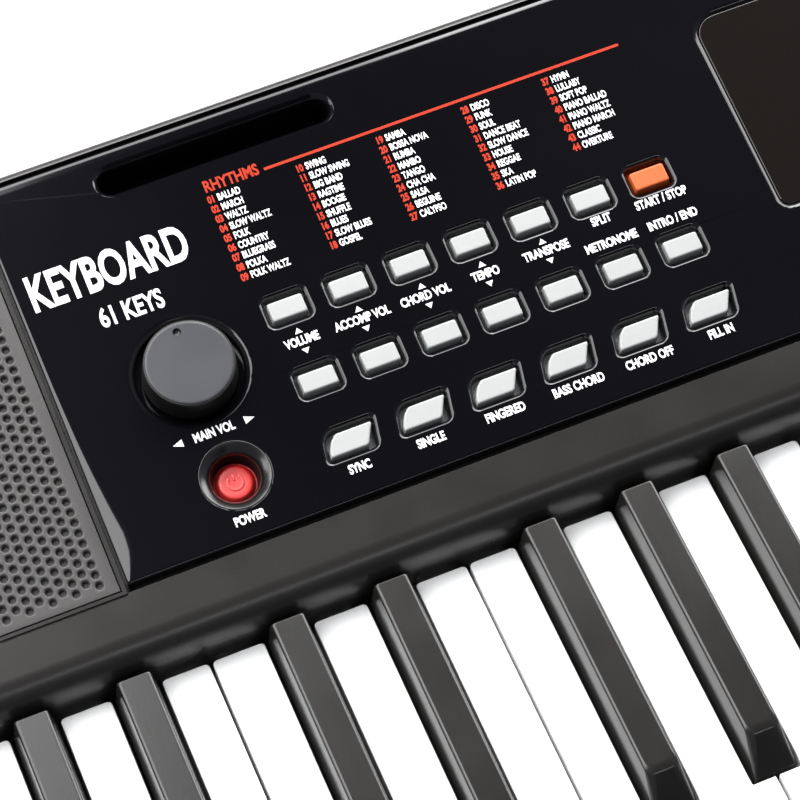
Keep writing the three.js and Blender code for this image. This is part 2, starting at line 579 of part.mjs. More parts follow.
function controlPanel() {
  let plate = box(-PANEL_HALF, PANEL_HALF, 0, PANEL_LENGTH, -PANEL_THICKNESS, 0);
  const wall = 1.5;
  const slots = [];
  const openings = [];
  for (const side of [-1, 1]) {
    const x0 = side * REST_SLOT.x - REST_SLOT.length / 2;
    const x1 = side * REST_SLOT.x + REST_SLOT.length / 2;
    const s0 = REST_SLOT.s - REST_SLOT.width / 2;
    const s1 = REST_SLOT.s + REST_SLOT.width / 2;
    slots.push(box(x0 - wall, x1 + wall, s0 - wall, s1 + wall, -REST_SLOT.depth - wall, -1));
    openings.push(slab(roundedRectangle(x0, x1, s0, s1, 2.4), -REST_SLOT.depth, 1, 3));
    for (const row of ROWS) {
      for (const x of capCentres(row, side)) openings.push(straightCap(x, row.s, CAP_CLEARANCE, -5, 2));
    }
  }
  for (const x of capCentres(LOWER_ROW)) openings.push(leaningCap(x, LOWER_ROW.s, CAP_CLEARANCE, -5, 2));
  plate = join(plate, ...slots,
    disc(KNOB.x, KNOB.s, -KNOB.recessDepth - 1.5, -1, KNOB.recess + 1.5, undefined, 32),
    disc(POWER.x, POWER.s, -POWER.dishDepth - 0.8, -1, POWER.hole + 1.7, POWER.dish + 1.2, 24));
  openings.push(disc(KNOB.x, KNOB.s, -KNOB.recessDepth, 2, KNOB.recess, undefined, 32));
  openings.push(disc(KNOB.x, KNOB.s, -6, 2, 4.2, undefined, 16));
  openings.push(disc(POWER.x, POWER.s, -POWER.dishDepth, 0.3, POWER.hole, POWER.dish, 24));
  openings.push(disc(POWER.x, POWER.s, -6, 2, POWER.hole, undefined, 24));
  openings.push(slab(roundedRectangle(-DISPLAY.half, DISPLAY.half, DISPLAY.front, DISPLAY.back,
    DISPLAY.radius), -2, 2, 4));
  openings.push(box(-DISPLAY.half + 5, DISPLAY.half - 5, DISPLAY.front + 5, DISPLAY.back - 5, -5, 2));
  return cut(plate, ...openings);
}
add('control_panel', controlPanel(), 'panel', panelGroup);

add('display_window', slab(roundedRectangle(-DISPLAY.half + GAP, DISPLAY.half - GAP,
  DISPLAY.front + GAP, DISPLAY.back - GAP, DISPLAY.radius - GAP), -1.7, -0.4, 4), 'displayWindow', panelGroup);

function displayModule() {
  const frame = box(-62, 62, DISPLAY.front + 2, DISPLAY.back - 2, -9.2, -PANEL_THICKNESS - GAP);
  return cut(frame, box(-57, 57, DISPLAY.front + 8, DISPLAY.back - 8, -4, 0));
}
add('display_module', displayModule(), 'displayFrame', panelGroup);

// ---------------------------------------------------------------- button caps

/** Caps of one row, moulded with the thin web that carries them under the panel. */
function capStrip(centres, s, capShape) {
  const first = Math.min(...centres) - CAP.width / 2 - 1.5;
  const last = Math.max(...centres) + CAP.width / 2 + 1.5;
  const web = box(first, last, s - 4.4, s + 4.4, CAP.web - CAP.webThickness, CAP.web);
  return join(web, ...centres.map((x) => capShape(x, s, 0, CAP.web - 0.5, CAP.top)));
}

const upperLeft = capCentres(ROWS[0]);
const startStop = upperLeft.pop();
add('buttons_row_1_left', capStrip(upperLeft, ROWS[0].s, straightCap), 'cap', panelGroup);
add('button_start_stop', join(
  straightCap(startStop, ROWS[0].s, 0, CAP.web - 0.5, CAP.top),
  box(startStop - 5.6, startStop + 5.6, ROWS[0].s - 4.4, ROWS[0].s + 4.4, CAP.web - CAP.webThickness, CAP.web)),
'orangeCap', panelGroup);
add('buttons_row_2_left', capStrip(capCentres(ROWS[1]), ROWS[1].s, straightCap), 'cap', panelGroup);
add('buttons_row_3_left', capStrip(capCentres(LOWER_ROW), LOWER_ROW.s, leaningCap), 'cap', panelGroup);
add('buttons_row_1_right', capStrip(capCentres(ROWS[0], 1), ROWS[0].s, straightCap), 'cap', panelGroup);
add('buttons_row_2_right', capStrip(capCentres(ROWS[1], 1), ROWS[1].s, straightCap), 'cap', panelGroup);

// ---------------------------------------------------------------- knob and power button

const SHAFT = { radius: 3, top: 4, bottom: -7 };

function volumeKnob() {
  const body = disc(KNOB.x, KNOB.s, -KNOB.recessDepth + 0.5, KNOB.top, KNOB.radius, KNOB.topRadius, 28);
  const shaftHole = disc(KNOB.x, KNOB.s, -5, SHAFT.top + GAP, SHAFT.radius + GAP, undefined, 16);
  const skirt = cut(
    disc(KNOB.x, KNOB.s, -5, KNOB.top - 2, KNOB.radius - 2, KNOB.topRadius - 2, 24),
    disc(KNOB.x, KNOB.s, -6, KNOB.top, 5.5, undefined, 16));
  const dimple = disc(KNOB.x, KNOB.s + KNOB.topRadius - 3, KNOB.top - 0.5, KNOB.top + 1, 0.8, 1.2, 10);
  return cut(body, shaftHole, skirt, dimple);
}
add('volume_knob', volumeKnob(), 'knob', panelGroup);

add('volume_potentiometer', join(
  box(KNOB.x - 8, KNOB.x + 8, KNOB.s - 8, KNOB.s + 8, BOARD_TOP + GAP, SHAFT.bottom + 1.2),
  disc(KNOB.x, KNOB.s, SHAFT.bottom, SHAFT.top, SHAFT.radius, undefined, 16)), 'steel', panelGroup);

const powerBody = join(
  disc(POWER.x, POWER.s, POWER.bottom, POWER.top, POWER.radius, undefined, 28),
  disc(POWER.x, POWER.s, POWER.bottom, POWER.bottom + 0.9, POWER.radius + 1.5, undefined, 20));
add('power_button', powerBody, 'powerCap', panelGroup);

add('power_switch', join(
  box(POWER.x - 4, POWER.x + 4, POWER.s - 4, POWER.s + 4, BOARD_TOP + GAP, -8.9),
  box(POWER.x - 1.5, POWER.x + 1.5, POWER.s - 1.5, POWER.s + 1.5, -9, -8.5)), 'electrical', panelGroup);

// ---------------------------------------------------------------- button board and mat

add('button_board', box(-BOARD.half, BOARD.half, BOARD.front, BOARD.back,
  BOARD_TOP - BOARD.thickness, BOARD_TOP), 'board', panelGroup);

/** Rubber mat under the left-hand caps, with a raised bar under each row. */
function contactMat() {
  const x0 = upperLeft[0] - 8;
  const x1 = startStop + 8;
  const sheet = box(x0, x1, 8, 56, BOARD_TOP + GAP, BOARD_TOP + 1.4);
  const padTop = CAP.web - CAP.webThickness - CAP.travel - GAP;
  const pads = [ROWS[0].s, ROWS[1].s, LOWER_ROW.s].map((s) => box(x0 + 2, x1 - 2, s - 2.5, s + 2.5,
    BOARD_TOP + 1, padTop));
  return join(sheet, ...pads);
}
add('button_contact_mat', contactMat(), 'rubber', panelGroup);

// ---------------------------------------------------------------- speakers and grilles

for (const [name, side] of [['left', -1], ['right', 1]]) {
  const edges = [side * GRILLE.inner, side * GRILLE.outer].sort((a, b) => a - b);
  add(`speaker_grille_${name}`, box(edges[0], edges[1], GRILLE.front, GRILLE.back,
    -PANEL_THICKNESS, 0), 'grille', panelGroup);

  const front = -PANEL_THICKNESS - GAP - 0.1;
  const profile = [
    [0, front - 6], [12, front - 6], [SPEAKER.radius - 7, front - 1], [SPEAKER.radius - 3, front],
    [SPEAKER.radius, front], [SPEAKER.radius, front - 2], [SPEAKER.radius - 6, front - 4],
    [SPEAKER.magnet, front - 20], [SPEAKER.magnet, front - SPEAKER.depth], [0, front - SPEAKER.depth]];
  const geometry = new THREE.LatheGeometry(profile.reverse().map(([r, h]) => new THREE.Vector2(r, h)), 20);
  geometry.rotateX(Math.PI / 2);
  geometry.translate(side * SPEAKER.x, SPEAKER.s, 0);
  add(`speaker_${name}`, solidOf(geometry), 'speaker', panelGroup);
}

// ---------------------------------------------------------------- main board and sockets

const chips = [[-190, 76, 14, 14, 2], [-150, 84, 10, 18, 2], [-120, 66, 12, 8, 6], [-210, 60, 5, 5, 11]];
add('main_circuit_board', join(
  box(MAIN_BOARD.left, MAIN_BOARD.right, MAIN_BOARD.front, MAIN_BOARD.back, MAIN_BOARD.bottom, MAIN_BOARD.top),
  ...chips.map(([x, y, w, d, h]) => box(x - w / 2, x + w / 2, y - d / 2, y + d / 2,
    MAIN_BOARD.top - 0.5, MAIN_BOARD.top + h))), 'board');

/** Panel socket: block inside the rear wall, sleeve through it, bore for the plug. */
function socket(x, bore, pin) {
  const block = box(x - 6, x + 6, 109, 122.6, JACKS.z - 6, JACKS.z + 6);
  const sleeve = barrel(x, JACKS.z, 122, 125.8, JACKS.hole - 0.1);
  const body = cut(join(block, sleeve), barrel(x, JACKS.z, 112, 130, bore, 16));
  return pin ? join(body, barrel(x, JACKS.z, 111, 124, pin, 10)) : body;
}
add('dc_power_inlet', socket(JACKS.dc, 2.9, 1), 'electrical');
add('headphone_jack', socket(JACKS.headphone, 1.8, 0), 'electrical');

export default keyboard;
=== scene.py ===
# Toy electronic keyboard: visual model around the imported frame.
# Lengths below are millimetres unless a name says otherwise; objects are made in metres.
import json
import math

import bpy
import bmesh
from mathutils import Matrix, Vector


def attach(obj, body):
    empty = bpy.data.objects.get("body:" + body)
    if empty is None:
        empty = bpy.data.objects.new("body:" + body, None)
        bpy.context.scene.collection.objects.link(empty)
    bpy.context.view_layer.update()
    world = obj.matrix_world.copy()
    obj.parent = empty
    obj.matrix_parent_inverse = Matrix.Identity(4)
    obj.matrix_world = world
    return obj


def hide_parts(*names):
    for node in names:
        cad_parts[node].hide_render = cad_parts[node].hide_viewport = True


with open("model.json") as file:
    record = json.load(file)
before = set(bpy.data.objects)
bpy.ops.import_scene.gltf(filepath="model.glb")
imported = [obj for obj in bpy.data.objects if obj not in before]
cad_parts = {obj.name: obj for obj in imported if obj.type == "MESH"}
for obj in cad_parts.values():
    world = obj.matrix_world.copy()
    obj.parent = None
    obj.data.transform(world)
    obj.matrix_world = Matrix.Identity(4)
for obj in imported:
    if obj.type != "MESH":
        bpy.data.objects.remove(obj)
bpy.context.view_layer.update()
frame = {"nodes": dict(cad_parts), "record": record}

MM = 0.001
HOUSING = "housing"

# ------------ driving dimensions

PITCH = 20.6
WHITE_COUNT = 36
KEYS_LEFT = -WHITE_COUNT * PITCH / 2
WHITE_FRONT = -116.0
WHITE_TOP = 52.0
WHITE_BOTTOM = 38.0
KEY_REAR = 4.0
KEY_GAP = 0.85
KEY_WALL = 1.8
REAR_CORNER = 1.1
BLACK_BASE = 10.0
BLACK_TOP = 7.7
BLACK_RISE = 7.8
BLACK_LENGTH = 72.7
BLACK_NOSE = 7.2
BLACK_DEPTH = 11.0
BLACK_EDGE, BLACK_NOSE_EDGE, EDGE_STEPS = 0.75, 1.7, 6
NOTCH_CLEARANCE = 0.9
BLACK_OFFSETS = {0: -2.0, 1: 2.0, 3: -3.13, 4: 0.0, 5: 3.13}
TANG = {"bottom": 43.5, "thickness": 2.4, "rear": 33.0}
RISER = (29.3, 31.0)
COMB_BAR = (31.5, 36.0)
COMB_RISE = {"low": 0.0, "middle": 3.5, "high": 7.0}
SINGLE_OCTAVE = 1

SLOPE = math.radians(9.7)
PANEL_Y = KEY_REAR + 18.24
PANEL_Z = WHITE_TOP + 13.0
PANEL_LENGTH = 102.2
PANEL_HALF = 237.8
PANEL_THICKNESS = 2.5
GROOVE = 1.6
BAND_WALL = KEY_REAR + 1.7
BAND_RADIUS = 7.5

UPPER_ROWS = ((49.0, -180.75, 15.14, 7), (30.1, -180.75, 15.14, 7))
LOWER_ROW = (13.75, -179.4, 17.8, 6)
CAP_WIDTH, CAP_LENGTH, CAP_TOP = 8.5, 4.7, 0.3
LEAN_WIDTH, LEAN_LENGTH, LEAN_SHIFT = 9.3, 5.2, 2.65
KNOB_X, KNOB_S = -207.0, 42.5
POWER_X, POWER_S = -206.6, 15.5
REST_SLOT_X, REST_SLOT_S = 181.3, 93.65
GRILLE_INNER, GRILLE_OUTER = 239.9, 388.0
GRILLE_FRONT, GRILLE_BACK = -0.6, 100.6

SOCKET_X, SOCKET_Z, SOCKET_HOLE = (-200.0, -172.0), 41.0, 4.7

PANEL_MATRIX = Matrix.Translation((0.0, PANEL_Y, PANEL_Z)) @ Matrix.Rotation(SLOPE, 4, "X")

# ------------ materials

# Noise scales in cycles per metre, and the grain's depth in metres
DRIFT_SCALE, WEAR_SCALE, GRAIN_SCALE, BRUSH_SCALE = 14.0, 60.0, 2600.0, 400.0
GRAIN_DEPTH = 0.0001


def new_material(name, colour, roughness):
    """A principled material with its constant values set straight on the shader's sockets."""
    material = bpy.data.materials.new(name)
    material.use_nodes = True
    shader = material.node_tree.nodes["Principled BSDF"]
    shader.inputs["Base Color"].default_value = (*colour, 1.0)
    shader.inputs["Roughness"].default_value = roughness
    return material, material.node_tree, shader


def object_coordinates(tree, scale):
    """Coordinates fixed to the piece, stretched by the given scale."""
    place = tree.nodes.new("ShaderNodeTexCoord")
    stretch = tree.nodes.new("ShaderNodeMapping")
    stretch.inputs["Scale"].default_value = scale
    tree.links.new(place.outputs["Object"], stretch.inputs["Vector"])
    return stretch.outputs["Vector"]


def noise(tree, vector, scale, detail=3.0):
    node = tree.nodes.new("ShaderNodeTexNoise")
    node.inputs["Scale"].default_value = scale
    node.inputs["Detail"].default_value = detail
    tree.links.new(vector, node.inputs["Vector"])
    return node.outputs["Fac"]


def spread(tree, value, low, high):
    """Map a 0 to 1 value to the range low to high."""
    node = tree.nodes.new("ShaderNodeMapRange")
    node.inputs["From Min"].default_value = 0.3
    node.inputs["From Max"].default_value = 0.7
    node.inputs["To Min"].default_value = low
    node.inputs["To Max"].default_value = high
    tree.links.new(value, node.inputs["Value"])
    return node.outputs["Result"]


def tint(tree, shader, value, dark, light):
    """Base colour that drifts between two close colours."""
    ramp = tree.nodes.new("ShaderNodeValToRGB")
    ramp.color_ramp.elements[0].position = 0.3
    ramp.color_ramp.elements[1].position = 0.7
    ramp.color_ramp.elements[0].color = (*dark, 1.0)
    ramp.color_ramp.elements[1].color = (*light, 1.0)
    tree.links.new(value, ramp.inputs["Fac"])
    tree.links.new(ramp.outputs["Color"], shader.inputs["Base Color"])


def bump(tree, shader, height, strength, distance):
    node = tree.nodes.new("ShaderNodeBump")
    node.inputs["Strength"].default_value = strength
    node.inputs["Distance"].default_value = distance
    tree.links.new(height, node.inputs["Height"])
    tree.links.new(node.outputs["Normal"], shader.inputs["Normal"])


def plastic(name, colour, roughness, grain=0.0, drift=0.06, grain_scale=GRAIN_SCALE, specular=0.5):
    """Moulded plastic: slow colour drift, uneven polish and an optional fine grain."""
    material, tree, shader = new_material(name, colour, roughness)
    vector = object_coordinates(tree, (1.0, 1.0, 1.0))
    darker = tuple(level * (1.0 - drift) for level in colour)
    lighter = tuple(min(1.0, level * (1.0 + drift)) for level in colour)
    tint(tree, shader, noise(tree, vector, DRIFT_SCALE, 4.0), darker, lighter)
    worn = noise(tree, vector, WEAR_SCALE, 5.0)
    tree.links.new(spread(tree, worn, roughness * 0.9, roughness * 1.1), shader.inputs["Roughness"])
    shader.inputs["Specular IOR Level"].default_value = specular
    if grain:
        bump(tree, shader, noise(tree, vector, grain_scale, 2.0), grain, GRAIN_DEPTH)
    return material


def metal(name, colour, roughness):
    material, tree, shader = new_material(name, colour, roughness)
    shader.inputs["Metallic"].default_value = 1.0
    vector = object_coordinates(tree, (1.0, 30.0, 1.0))
    brushed = noise(tree, vector, BRUSH_SCALE)
    tree.links.new(spread(tree, brushed, roughness * 0.8, roughness * 1.3), shader.inputs["Roughness"])
    return material


MATERIALS = {
    "case": plastic("case_plastic", (0.0155, 0.0138, 0.0126), 0.29, grain=0.12, drift=0.05),
    "panel": plastic("panel_gloss", (0.0026, 0.0025, 0.0036), 0.10, drift=0.08, specular=0.42),
    "grille": plastic("grille_plastic", (0.046, 0.043, 0.0415), 0.46, grain=0.35, drift=0.06),
    "white_key": plastic("white_key_plastic", (0.90, 0.90, 0.893), 0.22, drift=0.012),
    "black_key": plastic("black_key_plastic", (0.0135, 0.0125, 0.0115), 0.20, grain=0.12, drift=0.08),
    "button_cap": plastic("button_cap_plastic", (0.365, 0.373, 0.366), 0.42, drift=0.02),
    "orange_cap": plastic("orange_cap_plastic", (0.60, 0.115, 0.030), 0.42, drift=0.04, specular=0.35),
    "power_cap": plastic("power_cap_plastic", (0.70, 0.024, 0.020), 0.42, drift=0.05, specular=1.0),
    "knob": plastic("knob_plastic", (0.040, 0.0405, 0.047), 0.38, grain=0.1, drift=0.05),
    "display_window": plastic("display_acrylic", (0.0075, 0.0058, 0.005), 0.05, drift=0.1, specular=0.45),
    "display_frame": plastic("display_frame_plastic", (0.5, 0.5, 0.48), 0.5),
    "circuit_board": plastic("solder_mask", (0.02, 0.13, 0.055), 0.35, drift=0.2),
    "grey_rubber": plastic("grey_rubber", (0.10, 0.10, 0.10), 0.75, grain=0.3),
    "foot_rubber": plastic("foot_rubber", (0.022, 0.022, 0.022), 0.8, grain=0.4, grain_scale=1200.0),
    "frame_plastic": plastic("frame_plastic", (0.55, 0.52, 0.46), 0.5, grain=0.2),
    "steel": metal("plated_steel", (0.62, 0.62, 0.60), 0.3),
    "speaker_steel": plastic("speaker_paint", (0.03, 0.03, 0.03), 0.5, grain=0.3),
    "electrical": plastic("electrical_nylon", (0.018, 0.018, 0.018), 0.45, grain=0.2),
}
WHITE_PRINT = plastic("white_print", (0.80, 0.80, 0.80), 0.5, drift=0.02)
RED_PRINT = plastic("red_print", (0.44, 0.026, 0.006), 0.55, drift=0.04, specular=0.2)
# Painted shade for the knob's side: the same plastic as the knob's top, made near-black because the side
# faces away from the light.
KNOB_SIDE_PAINTED_SHADE = plastic("knob_side_painted_shade", (0.006, 0.006, 0.006), 0.4, drift=0.05)
DISH_BLACK = plastic("dish_satin", (0.004, 0.0038, 0.0038), 0.24, drift=0.05, specular=0.7)
# Painted shade: a near-black, barely reflective material put in the power dish's throat and in the music rest
# slot wells, where shade falls.
SHADOW_BLACK = plastic("painted_shade_black", (0.004, 0.004, 0.005), 0.5, drift=0.0, specular=0.1)

for part in frame["record"]["subparts"]:
    node = frame["nodes"][part["node"]]
    node.data.materials.clear()
    node.data.materials.append(MATERIALS[part["material_slot"]])

# ------------ mesh helpers


def to_world(points, matrix=None):
    """Points in millimetres, through an optional matrix, in metres."""
    moved = [matrix @ Vector(p) for p in points] if matrix else [Vector(p) for p in points]
    return [p * MM for p in moved]


def make_object(name, points, faces, matrix=None):
    mesh = bpy.data.meshes.new(name)
    mesh.from_pydata(to_world(points, matrix), [], faces)
    mesh.validate()
    obj = bpy.data.objects.new(name, mesh)
    bpy.context.scene.collection.objects.link(obj)
    face_out(obj)
    return obj


def face_out(obj):
    edit = bmesh.new()
    edit.from_mesh(obj.data)
    bmesh.ops.recalc_face_normals(edit, faces=edit.faces)
    edit.to_mesh(obj.data)
    edit.free()


def loft_mesh(rings):
    """Points and faces of a stack of rings with equal counts, capped at both ends."""
    count = len(rings[0])
    points = [p for ring in rings for p in ring]
    faces = []
    for level in range(len(rings) - 1):
        a, b = level * count, (level + 1) * count
        faces += [(a + i, a + (i + 1) % count, b + (i + 1) % count, b + i) for i in range(count)]
    faces.append(tuple(reversed(range(count))))
    last = (len(rings) - 1) * count
    faces.append(tuple(last + i for i in range(count)))
    return points, faces


def join_meshes(parts):
    """Several (points, faces) as one."""
    points, faces = [], []
    for some_points, some_faces in parts:
        offset = len(points)
        points += some_points
        faces += [tuple(i + offset for i in face) for face in some_faces]
    return points, faces


def box_corners(x0, x1, y0, y1):
    return [(x0, y0), (x1, y0), (x1, y1), (x0, y1)]


def box_mesh(x0, x1, y0, y1, z0, z1):
    ring = box_corners(x0, x1, y0, y1)
    return loft_mesh([[(x, y, z0) for x, y in ring], [(x, y, z1) for x, y in ring]])


def rounded(x0, x1, y0, y1, radius, steps=6):
    """Corners of a rounded rectangle; radius may be one number or four, from the low-low corner round."""
    radii = [radius] * 4 if isinstance(radius, (int, float)) else radius
    centres = [(x0, y0, 1, 1), (x1, y0, -1, 1), (x1, y1, -1, -1), (x0, y1, 1, -1)]
    ring = []
    for corner, (x, y, sx, sy) in enumerate(centres):
        r = radii[corner]
        for i in range(steps + 1):
            angle = math.pi * (1.0 + corner / 2 + i / steps / 2)
            ring.append((x + sx * r + r * math.cos(angle), y + sy * r + r * math.sin(angle)))
    return ring


def circle(x, y, radius, count=48):
    return [(x + radius * math.cos(2 * math.pi * i / count), y + radius * math.sin(2 * math.pi * i / count))
            for i in range(count)]


def at(ring, height):
    """A flat outline, lifted to a height."""
    return [(x, y, height) for x, y in ring]


def turned_mesh(x, y, profile, count=64):
    """Solid turned about an upright axis, from its (radius, height) profile, capped at both ends."""
    return loft_mesh([at(circle(x, y, radius, count), height) for radius, height in profile])


def turned_ring(x, y, section, count=64):
    """Ring turned about an upright axis, open through its middle, from a closed (radius, height) section."""
    points = [p for radius, height in section for p in at(circle(x, y, radius, count), height)]
    faces = []
    for level in range(len(section)):
        a, b = level * count, (level + 1) % len(section) * count
        faces += [(a + i, a + (i + 1) % count, b + (i + 1) % count, b + i) for i in range(count)]
    return points, faces


def bake_modifiers(obj):
    """Replace the mesh by what its modifiers make of it."""
    bpy.context.view_layer.update()
    graph = bpy.context.evaluated_depsgraph_get()
    mesh = bpy.data.meshes.new_from_object(obj.evaluated_get(graph))
    old = obj.data
    obj.modifiers.clear()
    obj.data = mesh
    bpy.data.meshes.remove(old)
    return obj


def bevel(obj, width, segments=3, angle=32.0):
    tool = obj.modifiers.new("edge", "BEVEL")
    tool.width = width * MM
    tool.segments = segments
    tool.limit_method = "ANGLE"
    tool.angle_limit = math.radians(angle)
    tool.miter_outer = "MITER_ARC"
    return bake_modifiers(obj)


def cut(obj, points, faces, matrix=None):
    """Subtract closed shapes that don't overlap one another."""
    tool_object = make_object(obj.name + "_tool", points, faces, matrix)
    tool = obj.modifiers.new("cut", "BOOLEAN")
    tool.operation = "DIFFERENCE"
    tool.solver = "EXACT"
    tool.object = tool_object
    bake_modifiers(obj)
    bpy.data.objects.remove(tool_object)
    return obj


def smooth(obj, angle=38.0):
    """Smooth shading, with edges over the given angle kept sharp and flat faces kept flat."""
    mesh = obj.data
    mesh.polygons.foreach_set("use_smooth", [True] * len(mesh.polygons))
    mesh.set_sharp_from_angle(angle=math.radians(angle))
    tool = obj.modifiers.new("even_normals", "WEIGHTED_NORMAL")
    tool.keep_sharp = True
    tool.weight = 80
    return obj


def place(obj, slot, body=HOUSING, nodes=(), material=None):
    """Give a finished piece its material, its body and the CAD nodes it stands for."""
    obj.data.materials.clear()
    obj.data.materials.append(material or MATERIALS[slot])
    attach(obj, body)
    if nodes:
        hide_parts(*nodes)
    return obj


# ------------ camera, light and floor

CAMERA = {
    "target": Vector((-165.5, 40.6, 68.1)), "distance": 712.0,
    "azimuth": 20.65, "elevation": 59.13, "roll": 2.34, "lens": 142.0,
}


CONTROLS_CENTRE = Vector((-0.16, 0.03, 0.06))  # metres; what the lights face
FLOOR_HALF, FLOOR_THICKNESS, FLOOR_CORNER = 6000, 4, 10
# Brightness of the room by the X of a direction: 0 is overhead and all of the left half, 1 is due right
ROOM_LEVELS = ((0.0, 0.30), (0.15, 0.02), (0.45, 0.18), (1.0, 0.40))
ROOM_COLOUR = (0.80, 0.83, 0.95)


def add_camera():
    azimuth, elevation = math.radians(CAMERA["azimuth"]), math.radians(CAMERA["elevation"])
    forward = Vector((math.sin(azimuth) * math.cos(elevation), math.cos(azimuth) * math.cos(elevation),
                      -math.sin(elevation)))
    camera = bpy.data.cameras.new("camera")
    camera.lens = CAMERA["lens"]
    camera.sensor_width = 36.0
    camera.clip_start = 0.01
    obj = bpy.data.objects.new("camera", camera)
    obj.location = (CAMERA["target"] - forward * CAMERA["distance"]) * MM
    level = forward.to_track_quat("-Z", "Y").to_matrix().to_4x4()
    roll = Matrix.Rotation(math.radians(CAMERA["roll"]), 4, forward)
    obj.matrix_world = Matrix.Translation(obj.location) @ roll @ level
    bpy.context.scene.collection.objects.link(obj)
    bpy.context.scene.camera = obj


def add_softbox(name, direction, distance, size, radiance):
    """Rectangular soft light facing the controls; direction is from them to the light, lengths in metres."""
    light = bpy.data.lights.new(name, "AREA")
    light.shape = "RECTANGLE"
    light.size, light.size_y = size
    light.energy = radiance * math.pi * size[0] * size[1]
    obj = bpy.data.objects.new(name, light)
    toward = Vector(direction).normalized()
    across = (Vector((1.0, 0.0, 0.0)) - toward * toward.x).normalized()
    turn = Matrix((across, toward.cross(across), toward)).transposed()
    obj.matrix_world = Matrix.Translation(CONTROLS_CENTRE + toward * distance) @ turn.to_4x4()
    bpy.context.scene.collection.objects.link(obj)


def add_studio():
    outline = rounded(-FLOOR_HALF, FLOOR_HALF, -FLOOR_HALF, FLOOR_HALF, FLOOR_CORNER, 2)
    floor = make_object("floor", *loft_mesh([at(outline, -FLOOR_THICKNESS), at(outline, 0)]))
    floor.data.materials.append(plastic("floor_paper", (0.93, 0.93, 0.93), 0.85, drift=0.01))

    world = bpy.context.scene.world or bpy.data.worlds.new("studio")
    bpy.context.scene.world = world
    world.use_nodes = True
    tree = world.node_tree
    direction = tree.nodes.new("ShaderNodeTexCoord")
    split = tree.nodes.new("ShaderNodeSeparateXYZ")
    tree.links.new(direction.outputs["Generated"], split.inputs["Vector"])
    ramp = tree.nodes.new("ShaderNodeValToRGB")
    tree.links.new(split.outputs["X"], ramp.inputs["Fac"])
    stops = ramp.color_ramp.elements
    for position, _ in ROOM_LEVELS[1:-1]:
        stops.new(position)
    for stop, (_, level) in zip(stops, ROOM_LEVELS):
        stop.color = (*(channel * level for channel in ROOM_COLOUR), 1.0)
    tree.links.new(ramp.outputs["Color"], tree.nodes["Background"].inputs["Color"])

    add_softbox("left_light", (-0.44, 0.37, 0.82), 1.6, (1.08, 1.2), 7.0)
    add_softbox("left_light_edge", (-0.04, 0.53, 0.85), 1.55, (0.26, 0.62), 4.5)
    add_softbox("right_light", (0.54, 0.58, 0.61), 1.6, (1.15, 0.75), 9.5)
    add_softbox("low_left_light", (-0.84, 0.25, 0.48), 1.6, (0.5, 0.7), 5.0)
    add_softbox("low_right_light", (0.88, 0.33, 0.28), 1.6, (0.6, 0.7), 7.0)
    add_softbox("back_light", (0.1, 0.76, 0.64), 1.8, (1.7, 0.8), 8.0)
    add_softbox("front_light", (0.15, -0.62, 0.77), 1.9, (1.0, 0.15), 5.0)
    bpy.context.scene.view_settings.view_transform = "Standard"
    bpy.context.scene.view_settings.look = "None"


add_camera()
add_studio()

# ------------ keys


def white_left(index):
    return KEYS_LEFT + index * PITCH


def has_black_after(index):
    return index % 7 in BLACK_OFFSETS and index < WHITE_COUNT - 1


def black_centre(index):
    return white_left(index + 1) + BLACK_OFFSETS[index % 7]


def tail_edges(index):
    """Left and right side of a white key's narrow part, between the black keys."""
    reach = BLACK_BASE / 2 + NOTCH_CLEARANCE
    left = white_left(index) + KEY_GAP / 2
    right = white_left(index + 1) - KEY_GAP / 2
    if index > 0 and has_black_after(index - 1):
        left = black_centre(index - 1) + reach
    if has_black_after(index):
        right = black_centre(index) - reach
    return left, right


def white_outline(index, inset):
    """Plan of a white key, in by the given amount, from its front left corner round."""
    left = white_left(index) + KEY_GAP / 2 + inset
    right = white_left(index + 1) - KEY_GAP / 2 - inset
    tail_left, tail_right = tail_edges(index)
    tail_left, tail_right = tail_left + inset, tail_right - inset
    front, rear = WHITE_FRONT + inset, KEY_REAR - inset
    notch = KEY_REAR - BLACK_LENGTH - NOTCH_CLEARANCE - inset
    ring = [(left, front), (right, front)]
    if has_black_after(index):
        ring += [(right, notch), (tail_right, notch)]
    radius = max(0.3, REAR_CORNER - inset)
    turns = [math.pi / 2 * i / 4 for i in range(5)]
    ring += [(tail_right - radius * (1 - math.cos(t)), rear - radius * (1 - math.sin(t))) for t in turns]
    ring += [(tail_left + radius * (1 - math.sin(t)), rear - radius * (1 - math.cos(t))) for t in turns]
    if index > 0 and has_black_after(index - 1):
        ring += [(tail_left, notch), (left, notch)]
    return ring


def white_key_mesh(index):
    outer, inner = white_outline(index, 0.0), white_outline(index, KEY_WALL)
    return loft_mesh([at(inner, WHITE_TOP - KEY_WALL), at(inner, WHITE_BOTTOM),
                      at(outer, WHITE_BOTTOM), at(outer, WHITE_TOP)])


